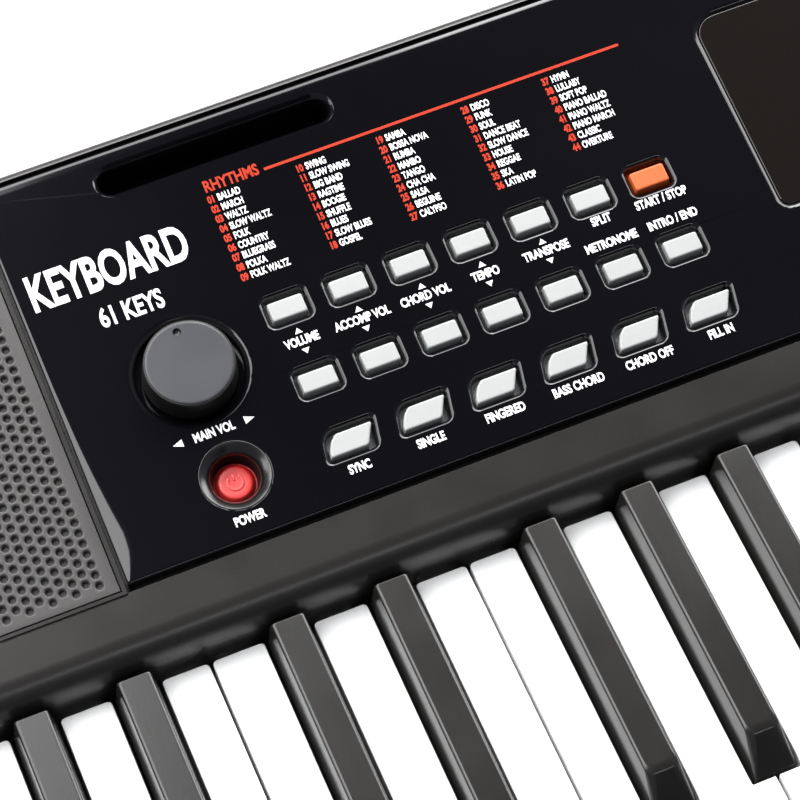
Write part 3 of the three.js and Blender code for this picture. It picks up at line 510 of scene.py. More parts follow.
def black_key_mesh(index):
    """Black key: drafted sides, a leaning front, and edges rounded over into a flat top."""
    centre = black_centre(index)
    front = KEY_REAR - BLACK_LENGTH
    bottom = WHITE_TOP - BLACK_DEPTH

    def plan(rise, over):
        """Outline at a height above the white keys, pulled in where the edge turns over."""
        share = max(0.0, rise) / BLACK_RISE
        half = BLACK_BASE / 2 - share * (BLACK_BASE - BLACK_TOP) / 2 - BLACK_EDGE * over
        y0 = front + share * BLACK_NOSE + BLACK_NOSE_EDGE * over
        corner = 0.7 + 1.5 * share
        return rounded(centre - half, centre + half, y0, KEY_REAR - 0.3 * share - 0.4 * over,
                       (corner, corner, 0.4, 0.4), 4)

    inner_half = BLACK_BASE / 2 - KEY_WALL
    inner = rounded(centre - inner_half, centre + inner_half, front + KEY_WALL, KEY_REAR - KEY_WALL, 0.3, 4)
    base = plan(0.0, 0.0)
    rings = [at(inner, WHITE_TOP), at(inner, bottom), at(base, bottom), at(base, WHITE_TOP)]
    for i in range(EDGE_STEPS + 1):
        turn = math.pi / 2 * i / EDGE_STEPS
        rise = BLACK_RISE - BLACK_EDGE + BLACK_EDGE * math.sin(turn)
        rings.append(at(plan(rise, 1.0 - math.cos(turn)), WHITE_TOP + rise))
    return loft_mesh(rings)


def tang_meshes(centre, width, level):
    """Arm from a key's rear to its comb's bar, over the hinge rail."""
    rise = COMB_RISE[level]
    x0, x1 = centre - width / 2, centre + width / 2
    low, high = TANG["bottom"], TANG["bottom"] + TANG["thickness"]
    if rise == 0.0:
        return [box_mesh(x0, x1, KEY_REAR - 1.0, TANG["rear"], low, high)]
    return [box_mesh(x0, x1, KEY_REAR - 1.0, RISER[1], low, high),
            box_mesh(x0, x1, RISER[0], RISER[1], high, high + rise),
            box_mesh(x0, x1, RISER[1], TANG["rear"], low + rise, high + rise)]


def bar_mesh(centres, half, level):
    """Bar across the rear of a comb, which joins its tangs."""
    low = TANG["bottom"] + COMB_RISE[level]
    front, rear = COMB_BAR
    return box_mesh(min(centres) - half, max(centres) + half, front + 0.6, rear, low, low + TANG["thickness"])


def add_keys(node, indices, colour, level, is_comb):
    """One moulding: a single key, or a comb of keys with its tangs and bar."""
    white = colour == "white_key"
    key_mesh = white_key_mesh if white else black_key_mesh
    centre_of = (lambda i: sum(tail_edges(i)) / 2) if white else black_centre
    half_tang = 4.0 if white else 3.5
    tops = make_object(node + "_moulding", *join_meshes([key_mesh(i) for i in indices]))
    if white:
        bevel(tops, 0.4, 3, 25.0)
    hidden = []
    for index in indices:
        hidden += tang_meshes(centre_of(index), 2 * half_tang, level)
    if is_comb:
        hidden.append(bar_mesh([centre_of(i) for i in indices], half_tang, level))
    arms = make_object(node + "_arms", *join_meshes(hidden))
    with bpy.context.temp_override(active_object=tops, selected_editable_objects=[tops, arms]):
        bpy.ops.object.join()
    smooth(tops, 40.0)
    place(tops, colour, node, [node])


WHITE_NAMES = "CDEFGAB"
for octave in range(5):
    start, label = octave * 7, octave + 2
    blacks = [start + step for step in (0, 1, 3, 4, 5)]
    if octave == SINGLE_OCTAVE:
        for step in range(7):
            add_keys(f"white_key_{WHITE_NAMES[step]}{label}", [start + step], "white_key", "low", False)
        for index in blacks:
            add_keys(f"black_key_{WHITE_NAMES[index % 7]}{label}_sharp", [index], "black_key", "low", False)
        continue
    outer = [start + step for step in (0, 2, 4, 6)] + ([start + 7] if octave == 4 else [])
    inner = [start + step for step in (1, 3, 5)]
    add_keys(f"white_keys_C{label}_E{label}_G{label}_B{label}", outer, "white_key", "low", True)
    add_keys(f"white_keys_D{label}_F{label}_A{label}", inner, "white_key", "middle", True)
    add_keys(f"black_keys_octave_{label}", blacks, "black_key", "high", True)

# ------------ case


def plane_z(y, depth=0.0):
    """Height of the panel plane, or of one below it, at a distance from the front of the keyboard."""
    return PANEL_Z + (y - PANEL_Y) * math.tan(SLOPE) - depth / math.cos(SLOPE)


def arc(cy, cz, radius, start, end, steps):
    """Points of an arc in the YZ plane, angles in degrees."""
    angles = [math.radians(start + (end - start) * i / steps) for i in range(steps + 1)]
    return [(cy + radius * math.cos(angle), cz + radius * math.sin(angle)) for angle in angles]


CASE = {
    "half_width": 400.0, "half_depth": 126.0, "corner": 12.0, "wall": 2.5, "parting": 26.0,
    "back_inside": 123.0, "lip_top": 43.0, "lip_rear": WHITE_FRONT - 1.2, "lip_radius": 6.0,
    "back_radius": 3.0, "end_radius": 2.4,
}
WELL_MARGIN = 0.9                    # beside the outermost keys
TANG_GAP_TOP = 48.0
SOCKET_REACH = (119.0, 131.0)        # the socket holes' cut, through the back wall
LEDGE_LOW, LEDGE_HIGH = -5.2, -2.9   # below the panel's surface


def case_top(y):
    """Height of the cheeks beside the keys: level on the front lip, then rising to the band."""
    roll_z = plane_z(BAND_WALL + BAND_RADIUS, BAND_RADIUS)
    along = max(0.0, (y - CASE["lip_rear"]) / (BAND_WALL - CASE["lip_rear"]))
    return CASE["lip_top"] + along * (roll_z - CASE["lip_top"])


def case_ring(x):
    """Section of the top case at one X: the ends follow the rounded plan and the top edge is rounded over."""
    reach = max(0.0, CASE["corner"] - (CASE["half_width"] - abs(x)))
    corner = CASE["corner"] - math.sqrt(max(0.0, CASE["corner"] ** 2 - reach ** 2))
    over = max(0.0, CASE["end_radius"] - (CASE["half_width"] - abs(x)))
    drop = CASE["end_radius"] - math.sqrt(max(0.0, CASE["end_radius"] ** 2 - over ** 2))
    front, back = -CASE["half_depth"] + corner, CASE["half_depth"] - corner
    lip, edge = CASE["lip_radius"], CASE["back_radius"]
    roll_y = BAND_WALL + BAND_RADIUS
    roll_z = plane_z(roll_y, BAND_RADIUS)
    slope = math.degrees(SLOPE)
    ring = [(front, CASE["parting"])]
    ring += arc(front + lip, case_top(front + lip) - lip - drop, lip, 180, 90, 10)
    rear = max(CASE["lip_rear"], front + lip + 0.5)
    ring += [(rear, case_top(rear) - drop), (BAND_WALL, roll_z - drop)]
    ring += arc(roll_y, roll_z - drop, BAND_RADIUS, 180, 90 + slope, 18)[1:]
    ring += arc(back - edge, plane_z(back - edge, edge * 0.985) - drop, edge, 90 + slope, 0, 8)
    ring += [(back, CASE["parting"])]
    return [(x, y, z) for y, z in ring]


def extrude_across(section, x0, x1):
    """A section in the YZ plane, drawn out along X."""
    return loft_mesh([[(x0, y, z) for y, z in section], [(x1, y, z) for y, z in section]])


def add_top_case():
    half = CASE["half_width"]
    steps = [0.0, 0.06, 0.25, 0.6, 1.1, 1.7, 2.4, 3.4, 4.8, 6.6, 9.0, 12.0]
    stations = [-half + step for step in steps] + [half - step for step in reversed(steps)]
    shell = make_object("top_case_shell", *loft_mesh([case_ring(x) for x in stations]))
    well = WHITE_COUNT * PITCH / 2 + WELL_MARGIN
    behind = CASE["back_inside"]
    wall = CASE["wall"]
    low = CASE["parting"] - 2.0
    # The hollow under the panel, the key well and the gap for the key tangs.
    hollow = [(BAND_WALL + wall, low), (BAND_WALL + wall, 53.0),
              (BAND_WALL + wall + 3.0, 58.0), (behind, plane_z(behind, wall + 1.0)), (behind, low)]
    cut(shell, *extrude_across(hollow, -half + wall + 1.0, half - wall - 1.0))
    cut(shell, *box_mesh(-well, well, CASE["lip_rear"], BAND_WALL, low, 90.0))
    cut(shell, *box_mesh(-well, well, BAND_WALL - 1.0, BAND_WALL + wall + 0.5, low, TANG_GAP_TOP))
    cut(shell, *box_mesh(-well, well, -CASE["half_depth"] + wall, CASE["lip_rear"] - 2.2, low, 40.5))
    for side in (-1, 1):
        inner, outer = sorted((side * (well + wall), side * (half - wall)))
        cheek = [(-CASE["half_depth"] + wall, low), (-CASE["half_depth"] + wall, 36.0),
                 (CASE["lip_rear"], 40.0), (BAND_WALL + wall + 1.0, 52.0), (BAND_WALL + wall + 1.0, low)]
        cut(shell, *extrude_across(cheek, inner, outer))
    # Pockets for the control panel and the grilles, each with a groove at the front.
    pockets = [box_mesh(-PANEL_HALF - 0.8, PANEL_HALF + 0.8, -GROOVE, PANEL_LENGTH + 0.15, -8.0, 8.0)]
    for side in (-1, 1):
        inner, outer = sorted((side * (GRILLE_INNER - 0.3), side * (GRILLE_OUTER + 0.3)))
        pockets.append(box_mesh(inner, outer, GRILLE_FRONT - 0.3, GRILLE_BACK + 0.3, -8.0, 8.0))
        # A shallow channel in front of each grille leaves a narrow bead round its edge.
        start, end = sorted((side * (PANEL_HALF + 0.8), side * (GRILLE_OUTER + 1.2)))
        channel = [(-2.15, -0.5), (-1.75, -0.5), (-1.6, 0.5), (-2.6, 0.5)]
        pockets.append(extrude_across(channel, start, end))
    cut(shell, *join_meshes(pockets), PANEL_MATRIX)
    sockets = []
    for socket_x in SOCKET_X:
        hole = circle(socket_x, SOCKET_Z, SOCKET_HOLE, 40)
        sockets.append(loft_mesh([[(x, y, z) for x, z in hole] for y in SOCKET_REACH]))
    cut(shell, *join_meshes(sockets))
    bevel(shell, 0.22, 2, 42.0)
    smooth(shell, 36.0)
    place(shell, "case", HOUSING, ["top_case"])

    # Ledges that the panel and the grilles rest on close the pockets from below.
    heights = (LEDGE_LOW, LEDGE_HIGH)
    ledges = [box_mesh(-PANEL_HALF - 1.0, PANEL_HALF + 1.0, -GROOVE - 0.6, 1.5, *heights)]
    for side in (-1, 1):
        inner, outer = sorted((side * (GRILLE_INNER - 3.5), side * (GRILLE_OUTER + 1.5)))
        ledges.append(box_mesh(inner, outer, GRILLE_FRONT - 1.6, 1.5, *heights))
        near, far = sorted((side * (PANEL_HALF - 3.0), side * (GRILLE_INNER + 3.0)))
        ledges.append(box_mesh(near, far, 1.5, 101.5, *heights))
    ledge = make_object("top_case_ledges", *join_meshes(ledges), PANEL_MATRIX)
    place(ledge, "case")


add_top_case()

# ------------ control panel

# Half-width and reach of the caps' pockets at the surface, and how their rounded rim falls away
POCKET = {"half": 5.95, "front": 4.4, "back": 4.9, "radius": 2.3}
RIM = ((0.5, 0.4), (0.05, 0.0), (-0.1, -0.04), (-0.35, -0.14), (-0.65, -0.34), (-0.9, -0.62), (-1.08, -0.97),
       (-1.2, -1.4), (-1.3, -5.5))
LEANING_POCKET = {"left": 6.9, "right": 6.7, "radii": (2.2, 2.0, 2.0, 3.4), "lean": 0.2}

# Rims and round profiles below are (inset or radius, height) pairs; heights are above the panel's surface.
REST_SLOT = {"half": 29.8, "radius": 4.3, "rim": (
    (1.45, -13.0), (1.4, -2.2), (1.28, -1.5), (0.95, -0.85), (0.5, -0.35), (0.12, -0.08), (0.0, 0.0),
    (-0.5, 0.4))}
DISPLAY_RIM = ((1.6, -1.8), (1.5, -1.0), (1.25, -0.6), (0.95, -0.35), (0.65, -0.19), (0.3, -0.06), (0.0, 0.0),
               (-0.6, 0.1))
KNOB_RECESS = ((12.3, -3.6), (12.3, -1.9), (12.42, -1.2), (12.62, -0.78), (12.9, -0.48), (13.2, -0.27),
               (13.5, -0.12), (13.8, -0.03), (14.05, 0.0), (14.7, 0.2))
POWER_RECESS = ((8.32, -7.0), (8.32, -0.25), (8.4, -0.08), (8.55, 0.0), (9.0, 0.3))
DISH = ((8.3, -6.1), (8.3, -0.2), (8.22, -0.06), (8.1, -0.03), (8.0, -0.08), (7.6, -0.3), (7.0, -0.7),
        (6.4, -1.2), (5.9, -1.85), (5.6, -2.45), (6.2, -6.1))
THROAT = ((5.64, -2.4), (5.4, -3.0), (5.2, -3.7), (5.05, -4.7), (4.97, -6.1), (5.9, -6.1), (5.9, -2.9))


def pocket_rings(ring_at):
    """Tool for a pocket with a rounded rim; ring_at(outset) gives its outline, larger by the outset."""
    return loft_mesh([at(ring_at(outset), height) for outset, height in RIM])


def upper_cap_centres(side=-1):
    return [(-side * (first + i * pitch), s) for s, first, pitch, count in UPPER_ROWS for i in range(count)]


def lower_cap_centres():
    s, first, pitch, count = LOWER_ROW
    return [(first + i * pitch, s) for i in range(count)]


def straight_pocket(x, s):
    half, radius = POCKET["half"], POCKET["radius"]

    def ring_at(outset):
        return rounded(x - half - outset, x + half + outset, s - POCKET["front"] - outset,
                       s + POCKET["back"] + outset, radius + outset)
    return pocket_rings(ring_at)


def lean(ring, s, slope):
    """Shear a ring sideways by slope millimetres for each millimetre behind s."""
    return [(x + (y - s) * slope, y) for x, y in ring]


def leaning_pocket(x, s):
    pocket = LEANING_POCKET

    def ring_at(outset):
        radii = tuple(radius + outset for radius in pocket["radii"])
        ring = rounded(x - pocket["left"] - outset, x + pocket["right"] + outset,
                       s - POCKET["front"] - outset, s + POCKET["back"] + outset, radii)
        return lean(ring, s, pocket["lean"])
    return pocket_rings(ring_at)


def slot_tool(x):
    """Tool for a music rest slot: a long round-ended well under a bevelled rim."""
    half, radius = REST_SLOT["half"], REST_SLOT["radius"]
    s0, s1 = REST_SLOT_S - radius, REST_SLOT_S + radius

    def ring_at(inset):
        return rounded(x - half + inset, x + half - inset, s0 + inset, s1 - inset, radius - inset - 0.02, 10)
    return loft_mesh([at(ring_at(inset), height) for inset, height in REST_SLOT["rim"]])


DISPLAY = {"half": 65.0, "front": 29.4, "back": 84.5, "radii": (4.0, 4.0, 7.0, 7.0)}


def display_ring(inset):
    radii = tuple(max(1.0, radius - inset) for radius in DISPLAY["radii"])
    return rounded(-DISPLAY["half"] + inset, DISPLAY["half"] - inset, DISPLAY["front"] + inset,
                   DISPLAY["back"] - inset, radii, 10)


# Width of the roll-off along the panel's left and right edges, by distance from its front
EDGE_ROLL = ((0.0, 0.6), (1.5, 1.0), (4.0, 2.4), (8.0, 4.0), (12.0, 4.2), (18.0, 3.3), (26.0, 2.3),
             (36.0, 1.5), (50.0, 1.0), (70.0, 0.8), (90.0, 0.7), (PANEL_LENGTH, 0.7))
# Stations up the panel between its rounded front and back edges, and how those edges fall away
PANEL_STATIONS = (1.5, 3.0, 5.0, 7.5, 10.0, 12.0, 14.0, 18.0, 22.0, 28.0, 34.0, 42.0, 50.0, 60.0, 70.0, 80.0,
                  90.0, 99.0)
PANEL_EDGE = ((0.0, 0.8), (0.08, 0.5), (0.28, 0.24), (0.6, 0.06), (1.0, 0.0))


def roll_width(s):
    for (s0, w0), (s1, w1) in zip(EDGE_ROLL, EDGE_ROLL[1:]):
        if s <= s1:
            return w0 + (w1 - w0) * (s - s0) / (s1 - s0)
    return EDGE_ROLL[-1][1]


def panel_ring(s, sink):
    """Section of the panel across the keyboard: flat, with both edges falling away."""
    width, bottom = roll_width(s), -PANEL_THICKNESS - 2.2
    fall = 0.17 * width
    half = [(0.0, bottom), (0.0, -fall - 0.45), (0.08, -fall - 0.14)]
    half += [(0.2 + (width - 0.2) * i / 10, -fall * (1.0 - i / 10) ** 2) for i in range(11)]
    left = [(-PANEL_HALF + x, h) for x, h in half]
    right = [(PANEL_HALF - x, h) for x, h in reversed(half)]
    return [(x, s, h - (sink if h > bottom else 0.0)) for x, h in left + right]


def add_control_panel():
    stations = list(PANEL_EDGE) + [(s, 0.0) for s in PANEL_STATIONS]
    stations += [(PANEL_LENGTH - 2.2 * s, 2.0 * sink) for s, sink in reversed(PANEL_EDGE)]
    rings = [panel_ring(s, sink) for s, sink in stations]
    plate = make_object("control_panel_plate", *loft_mesh(rings), PANEL_MATRIX)
    tools = [straight_pocket(x, s) for side in (-1, 1) for x, s in upper_cap_centres(side)]
    tools += [leaning_pocket(x, s) for x, s in lower_cap_centres()]
    tools += [slot_tool(side * REST_SLOT_X) for side in (-1, 1)]
    tools.append(turned_mesh(KNOB_X, KNOB_S, KNOB_RECESS, 96))
    tools.append(turned_mesh(POWER_X, POWER_S, POWER_RECESS))
    tools.append(loft_mesh([at(display_ring(inset), height) for inset, height in DISPLAY_RIM]))
    cut(plate, *join_meshes(tools), PANEL_MATRIX)
    smooth(plate, 36.0)
    place(plate, "panel", HOUSING, ["control_panel"])


def add_power_dish():
    """The power button's satin dish and, below it, the throat that the button stands in, in a near-black
    painted shade.
    """
    for name, section, material in (("power_dish", DISH, DISH_BLACK),
                                    ("power_dish_throat", THROAT, SHADOW_BLACK)):
        dish = make_object(name, *turned_ring(POWER_X, POWER_S, section), PANEL_MATRIX)
        smooth(dish, 50.0)
        place(dish, "panel", material=material)


def add_slot_wells():
    """Cups in a near-black painted shade that close the music rest slots from below."""
    wells = []
    for x in (-REST_SLOT_X, REST_SLOT_X):
        outer = rounded(x - 30.5, x + 30.5, 88.6, 98.8, 2.0)
        inner = rounded(x - 28.6, x + 28.6, 90.4, 96.9, 2.0)
        wells.append(loft_mesh([at(outer, -14.0), at(outer, -4.8), at(inner, -4.8), at(inner, -12.5)]))
    slot_wells = make_object("music_rest_slot_wells", *join_meshes(wells), PANEL_MATRIX)
    place(slot_wells, "panel", material=SHADOW_BLACK)


add_control_panel()
add_power_dish()
add_slot_wells()


def add_display():
    ring = display_ring(1.5)
    window = make_object("display_window_pane", *loft_mesh([at(ring, -1.75), at(ring, -0.62)]), PANEL_MATRIX)
    bevel(window, 0.35, 3, 40.0)
    smooth(window)
    place(window, "display_window", HOUSING, ["display_window"])


add_display()

# ------------ speaker grilles

# Dimples stand in columns up the slope, every other column shifted by half a pitch.
DIMPLE = {"column": 2.71, "pitch": 2.62, "radius": 1.04, "depth": 1.1, "sides": 12}
BORDER = {"side": 3.9, "end": 2.9, "edge": 0.15}


def hexagon_cell(x, s, corners, sides):
    """One cell of the grille: flat land out to the hexagon's corners, a rounded lip and a blind dimple."""
    radius, depth = DIMPLE["radius"], DIMPLE["depth"]
    rings = [(radius + 0.18, 0.0), (radius + 0.04, -0.05), (radius - 0.10, -0.19), (radius - 0.22, -0.45),
             (radius - 0.36, -depth)]
    points = [(x + cx, s + cy, 0.0) for cx, cy in corners]
    for ring_radius, height in rings:
        points += at(circle(x, s, ring_radius, sides), height)
    faces = []
    per_side = sides // 6
    for corner in range(6):
        arc_points = [6 + (corner * per_side + i) % sides for i in range(per_side + 1)]
        faces.append((corner, (corner + 1) % 6, *reversed(arc_points)))
    for level in range(len(rings) - 1):
        a, b = 6 + level * sides, 6 + (level + 1) * sides
        faces += [(a + i, a + (i + 1) % sides, b + (i + 1) % sides, b + i) for i in range(sides)]
    last = 6 + (len(rings) - 1) * sides
    faces.append(tuple(last + i for i in range(sides)))
    return points, faces


def add_grille(side):
    """Plate with a lattice of dimples inside a plain border."""
    x0, x1 = sorted((side * GRILLE_INNER, side * GRILLE_OUTER))
    width = x1 - x0 - 2 * BORDER["side"]
    height = GRILLE_BACK - GRILLE_FRONT - 2 * BORDER["end"]
    columns = round(width / DIMPLE["column"]) + 1
    rows = round(height / DIMPLE["pitch"] - 0.5) + 1
    column, pitch = width / (columns - 1), height / (rows - 0.5)
    start_x, start_s = x0 + BORDER["side"], GRILLE_FRONT + BORDER["end"]
    # Corners of the six-sided cell nearest to one dimple
    inner = (column ** 2 - pitch ** 2 / 4) / (2 * column)
    outer = column - inner
    corners = [(outer, 0.0), (inner, pitch / 2), (-inner, pitch / 2), (-outer, 0.0), (-inner, -pitch / 2),
               (inner, -pitch / 2)]
    edit = bmesh.new()
    for i in range(columns):
        for j in range(rows):
            points, faces = hexagon_cell(start_x + i * column, start_s + (j + 0.5 * (i % 2)) * pitch,
                                         corners, DIMPLE["sides"])
            verts = [edit.verts.new(p) for p in points]
            for face in faces:
                edit.faces.new([verts[k] for k in face])
    bmesh.ops.remove_doubles(edit, verts=edit.verts, dist=0.01)

    # The flat border between the lattice and the edge of the plate, then the plate's rounded edge.
    lattice_edges = [side_edge for side_edge in edit.edges if side_edge.is_boundary]
    edge = BORDER["edge"]
    corner_points = box_corners(x0 + edge, x1 - edge, GRILLE_FRONT + edge, GRILLE_BACK - edge)
    top_verts = [edit.verts.new((x, y, 0.0)) for x, y in corner_points]
    rim = [edit.edges.new((top_verts[k], top_verts[(k + 1) % 4])) for k in range(4)]
    bmesh.ops.triangle_fill(edit, edges=lattice_edges + rim, use_beauty=True)
    below = [edit.verts.new((x, y, -edge)) for x, y in box_corners(x0, x1, GRILLE_FRONT, GRILLE_BACK)]
    foot = [edit.verts.new((v.co.x, v.co.y, -PANEL_THICKNESS)) for v in below]
    for k in range(4):
        n = (k + 1) % 4
        edit.faces.new((top_verts[k], below[k], below[n], top_verts[n]))
        edit.faces.new((below[k], foot[k], foot[n], below[n]))
    edit.faces.new(foot)
    bmesh.ops.recalc_face_normals(edit, faces=edit.faces)
    edit.transform(Matrix.Scale(MM, 4) @ PANEL_MATRIX)
    mesh = bpy.data.meshes.new("grille")
    edit.to_mesh(mesh)
    edit.free()
    name = "left" if side < 0 else "right"
    obj = bpy.data.objects.new(f"speaker_grille_{name}_plate", mesh)
    bpy.context.scene.collection.objects.link(obj)
    smooth(obj, 50.0)
    place(obj, "grille", HOUSING, [f"speaker_grille_{name}"])


for side in (-1, 1):
    add_grille(side)

# ------------ caps, knob and power button

# A cap's side as (inset, height) pairs, from the web under it up to its rounded top edge
CAP_SIDE = ((-0.2, -3.4), (0.0, CAP_TOP - 0.5), (0.04, CAP_TOP - 0.28), (0.14, CAP_TOP - 0.13),
            (0.3, CAP_TOP - 0.04), (0.5, CAP_TOP))
CAP_BOW = 0.36                       # how far a leaning cap's left side bows out
WEB = {"margin": 1.2, "half": 4.0, "bottom": -4.0, "top": -3.1}


def cap_rings(ring_at):
    """A cap's lightly rounded block; ring_at(inset) gives its outline."""
    return loft_mesh([at(ring_at(inset), height) for inset, height in CAP_SIDE])


def straight_cap(x, s):
    def ring_at(inset):
        return rounded(x - CAP_WIDTH / 2 + inset, x + CAP_WIDTH / 2 - inset,
                       s - CAP_LENGTH / 2 + inset, s + CAP_LENGTH / 2 - inset, 0.55, 5)
    return cap_rings(ring_at)


def leaning_cap(x, s):
    """Leaning cap whose left side bows outwards."""
    def ring_at(inset):
        x0, x1 = x - LEAN_WIDTH / 2 + inset, x + LEAN_WIDTH / 2 - inset
        s0, s1 = s - LEAN_LENGTH / 2 + inset, s + LEAN_LENGTH / 2 - inset
        ring = rounded(x0, x1, s0, s1, (0.6, 0.6, 0.6, 0.9), 6)
        for share in (0.2, 0.35, 0.5, 0.65, 0.8):
            ring.append((x0 - CAP_BOW * 4 * share * (1 - share), s1 + (s0 - s1) * share))
        return lean(ring, s, LEAN_SHIFT / LEAN_LENGTH)
    return cap_rings(ring_at)


def web_mesh(centres, s):
    """Thin strip under a row of caps, which joins them."""
    xs = [x for x, _ in centres]
    reach, half = CAP_WIDTH / 2 + WEB["margin"], WEB["half"]
    return box_mesh(min(xs) - reach, max(xs) + reach, s - half, s + half, WEB["bottom"], WEB["top"])


def add_caps(node, centres, shape, slot):
    s = centres[0][1]
    parts = [shape(x, y) for x, y in centres] + [web_mesh(centres, s)]
    obj = make_object(node + "_caps", *join_meshes(parts), PANEL_MATRIX)
    smooth(obj, 42.0)
    place(obj, slot, node, [node])


left_caps, right_caps = upper_cap_centres(-1), upper_cap_centres(1)
add_caps("buttons_row_1_left", left_caps[:6], straight_cap, "button_cap")
add_caps("button_start_stop", left_caps[6:7], straight_cap, "orange_cap")
add_caps("buttons_row_2_left", left_caps[7:], straight_cap, "button_cap")
add_caps("buttons_row_1_right", right_caps[:7], straight_cap, "button_cap")
add_caps("buttons_row_2_right", right_caps[7:], straight_cap, "button_cap")
add_caps("buttons_row_3_left", lower_cap_centres(), leaning_cap, "button_cap")


# Profiles of the knob's body, whose side is the same plastic as its top but is given a near-black painted
# shade, of the grey inlay on its top and of the finger dimple near its rim
KNOB_BODY = ((10.9, -1.6), (10.95, -1.2), (10.9, 0.0), (10.52, 4.5), (10.46, 4.8), (10.3, 4.98), (10.1, 5.02),
             (0.02, 5.02))
KNOB_INLAY = ((10.02, 4.9), (10.02, 5.12), (9.96, 5.22), (9.8, 5.28), (9.4, 5.3), (5.0, 5.25), (0.02, 5.23))
KNOB_DIMPLE = ((0.35, 4.5), (0.65, 4.62), (0.85, 4.95), (0.98, 5.25), (1.15, 5.6))
DIMPLE_REACH = 7.9
SHAFT_HOLE = ((3.3, -5.0), (3.3, 4.35))


def add_knob():
    knob = make_object("volume_knob_body", *turned_mesh(KNOB_X, KNOB_S, KNOB_BODY, 96), PANEL_MATRIX)
    inlay = make_object("volume_knob_inlay", *turned_mesh(KNOB_X, KNOB_S, KNOB_INLAY, 96), PANEL_MATRIX)
    shaft_hole = turned_mesh(KNOB_X, KNOB_S, SHAFT_HOLE, 24)
    dimple = turned_mesh(KNOB_X, KNOB_S + DIMPLE_REACH, KNOB_DIMPLE, 24)
    cut(knob, *join_meshes([shaft_hole, dimple]), PANEL_MATRIX)
    cut(inlay, *dimple, PANEL_MATRIX)
    smooth(knob, 34.0)
    smooth(inlay, 34.0)
    # The body's side carries a near-black painted shade; the inlay on top keeps the knob's own grey.
    place(knob, "knob", "volume_knob", ["volume_knob"], KNOB_SIDE_PAINTED_SHADE)
    place(inlay, "knob", "volume_knob")


add_knob()


POWER_BODY = ((5.8, -7.2), (5.8, -6.35), (4.7, -6.3), (4.5, -5.9), (4.12, -5.4), (3.93, -5.13), (3.72, -4.98),
              (3.4, -4.91), (2.6, -4.93), (0.02, -5.0))
# The power mark's ring, its open stretch (degrees to each side of the bar) and its bar
MARK = {"inner": 1.45, "outer": 2.05, "low": -5.1, "high": -4.78, "open": 42, "steps": 40,
        "bar_half": 0.22, "bar_front": 0.5, "bar_back": 2.0}


def power_ring_mesh():
    """Raised ring of the power mark, open at its top."""
    low, high, steps = MARK["low"], MARK["high"], MARK["steps"]
    section = ((MARK["inner"], low), (MARK["inner"], high), (MARK["outer"], high), (MARK["outer"], low))
    opening = math.radians(MARK["open"])
    points, faces = [], []
    for i in range(steps + 1):
        angle = math.pi / 2 + opening + (2 * math.pi - 2 * opening) * i / steps
        points += [(POWER_X + radius * math.cos(angle), POWER_S + radius * math.sin(angle), height)
                   for radius, height in section]
    for i in range(steps):
        faces += [(4 * i + k, 4 * i + (k + 1) % 4, 4 * i + 4 + (k + 1) % 4, 4 * i + 4 + k) for k in range(4)]
    faces += [(0, 1, 2, 3), tuple(4 * steps + k for k in (3, 2, 1, 0))]
    return points, faces


def add_power_button():
    button = make_object("power_button_cap", *turned_mesh(POWER_X, POWER_S, POWER_BODY), PANEL_MATRIX)
    smooth(button, 34.0)
    place(button, "power_cap", "power_button", ["power_button"])

    mark_bar = box_mesh(POWER_X - MARK["bar_half"], POWER_X + MARK["bar_half"], POWER_S + MARK["bar_front"],
                        POWER_S + MARK["bar_back"], MARK["low"], MARK["high"])
    mark = make_object("power_mark", *join_meshes([power_ring_mesh(), mark_bar]), PANEL_MATRIX)
    bevel(mark, 0.05, 2, 40.0)
    smooth(mark)
    place(mark, "power_cap", "power_button")


add_power_button()

# ------------ printed words

PRINT_HEIGHT = 0.03
CAPITAL = 0.69                       # height of the font's capitals at size 1
LETTER_DEPTH = 0.01                  # half the thickness of the letters at size 1


def text_mesh(words, x, s, height, squeeze=0.69, weight=0.04, align="CENTER"):
    """Words as thin raised letters on the panel; height is that of the capitals, centred on s."""
    curve = bpy.data.curves.new("words", "FONT")
    curve.body = words
    curve.align_x = align
    curve.align_y = "CENTER"
    curve.size = 1.0
    curve.offset = weight
    curve.extrude = LETTER_DEPTH
    curve.resolution_u = 4
    obj = bpy.data.objects.new("words", curve)
    bpy.context.scene.collection.objects.link(obj)
    bpy.context.view_layer.update()
    mesh = bpy.data.meshes.new_from_object(obj.evaluated_get(bpy.context.evaluated_depsgraph_get()))
    bpy.data.objects.remove(obj)
    scale = height / CAPITAL
    size = Matrix.Diagonal((scale * squeeze, scale, PRINT_HEIGHT / (2 * LETTER_DEPTH), 1.0))
    mesh.transform(Matrix.Translation((x, s, 0.0)) @ size)
    return mesh


def flat_shape(points):
    """A printed shape, as thick as the letters."""
    return loft_mesh([at(points, -PRINT_HEIGHT), at(points, PRINT_HEIGHT)])


def add_print(name, texts, shapes, material):
    """One printed layer: text meshes and small closed shapes, all in one colour."""
    edit = bmesh.new()
    for mesh in texts:
        edit.from_mesh(mesh)
        bpy.data.meshes.remove(mesh)
    for points, faces in shapes:
        verts = [edit.verts.new(p) for p in points]
        for face in faces:
            edit.faces.new([verts[k] for k in face])
    bmesh.ops.recalc_face_normals(edit, faces=edit.faces)
    edit.transform(Matrix.Scale(MM, 4) @ PANEL_MATRIX)
    mesh = bpy.data.meshes.new(name)
    edit.to_mesh(mesh)
    edit.free()
    obj = bpy.data.objects.new(name, mesh)
    bpy.context.scene.collection.objects.link(obj)
    place(obj, "panel", HOUSING, material=material)


def up_down_marks(x, s, gap=1.95, width=0.95, height=1.4):
    """Small triangles above and below a word."""
    up = [(x - width, s + gap), (x + width, s + gap), (x, s + gap + height)]
    down = [(x, s - gap - height), (x + width, s - gap), (x - width, s - gap)]
    return [flat_shape(up), flat_shape(down)]


LABEL = 2.1
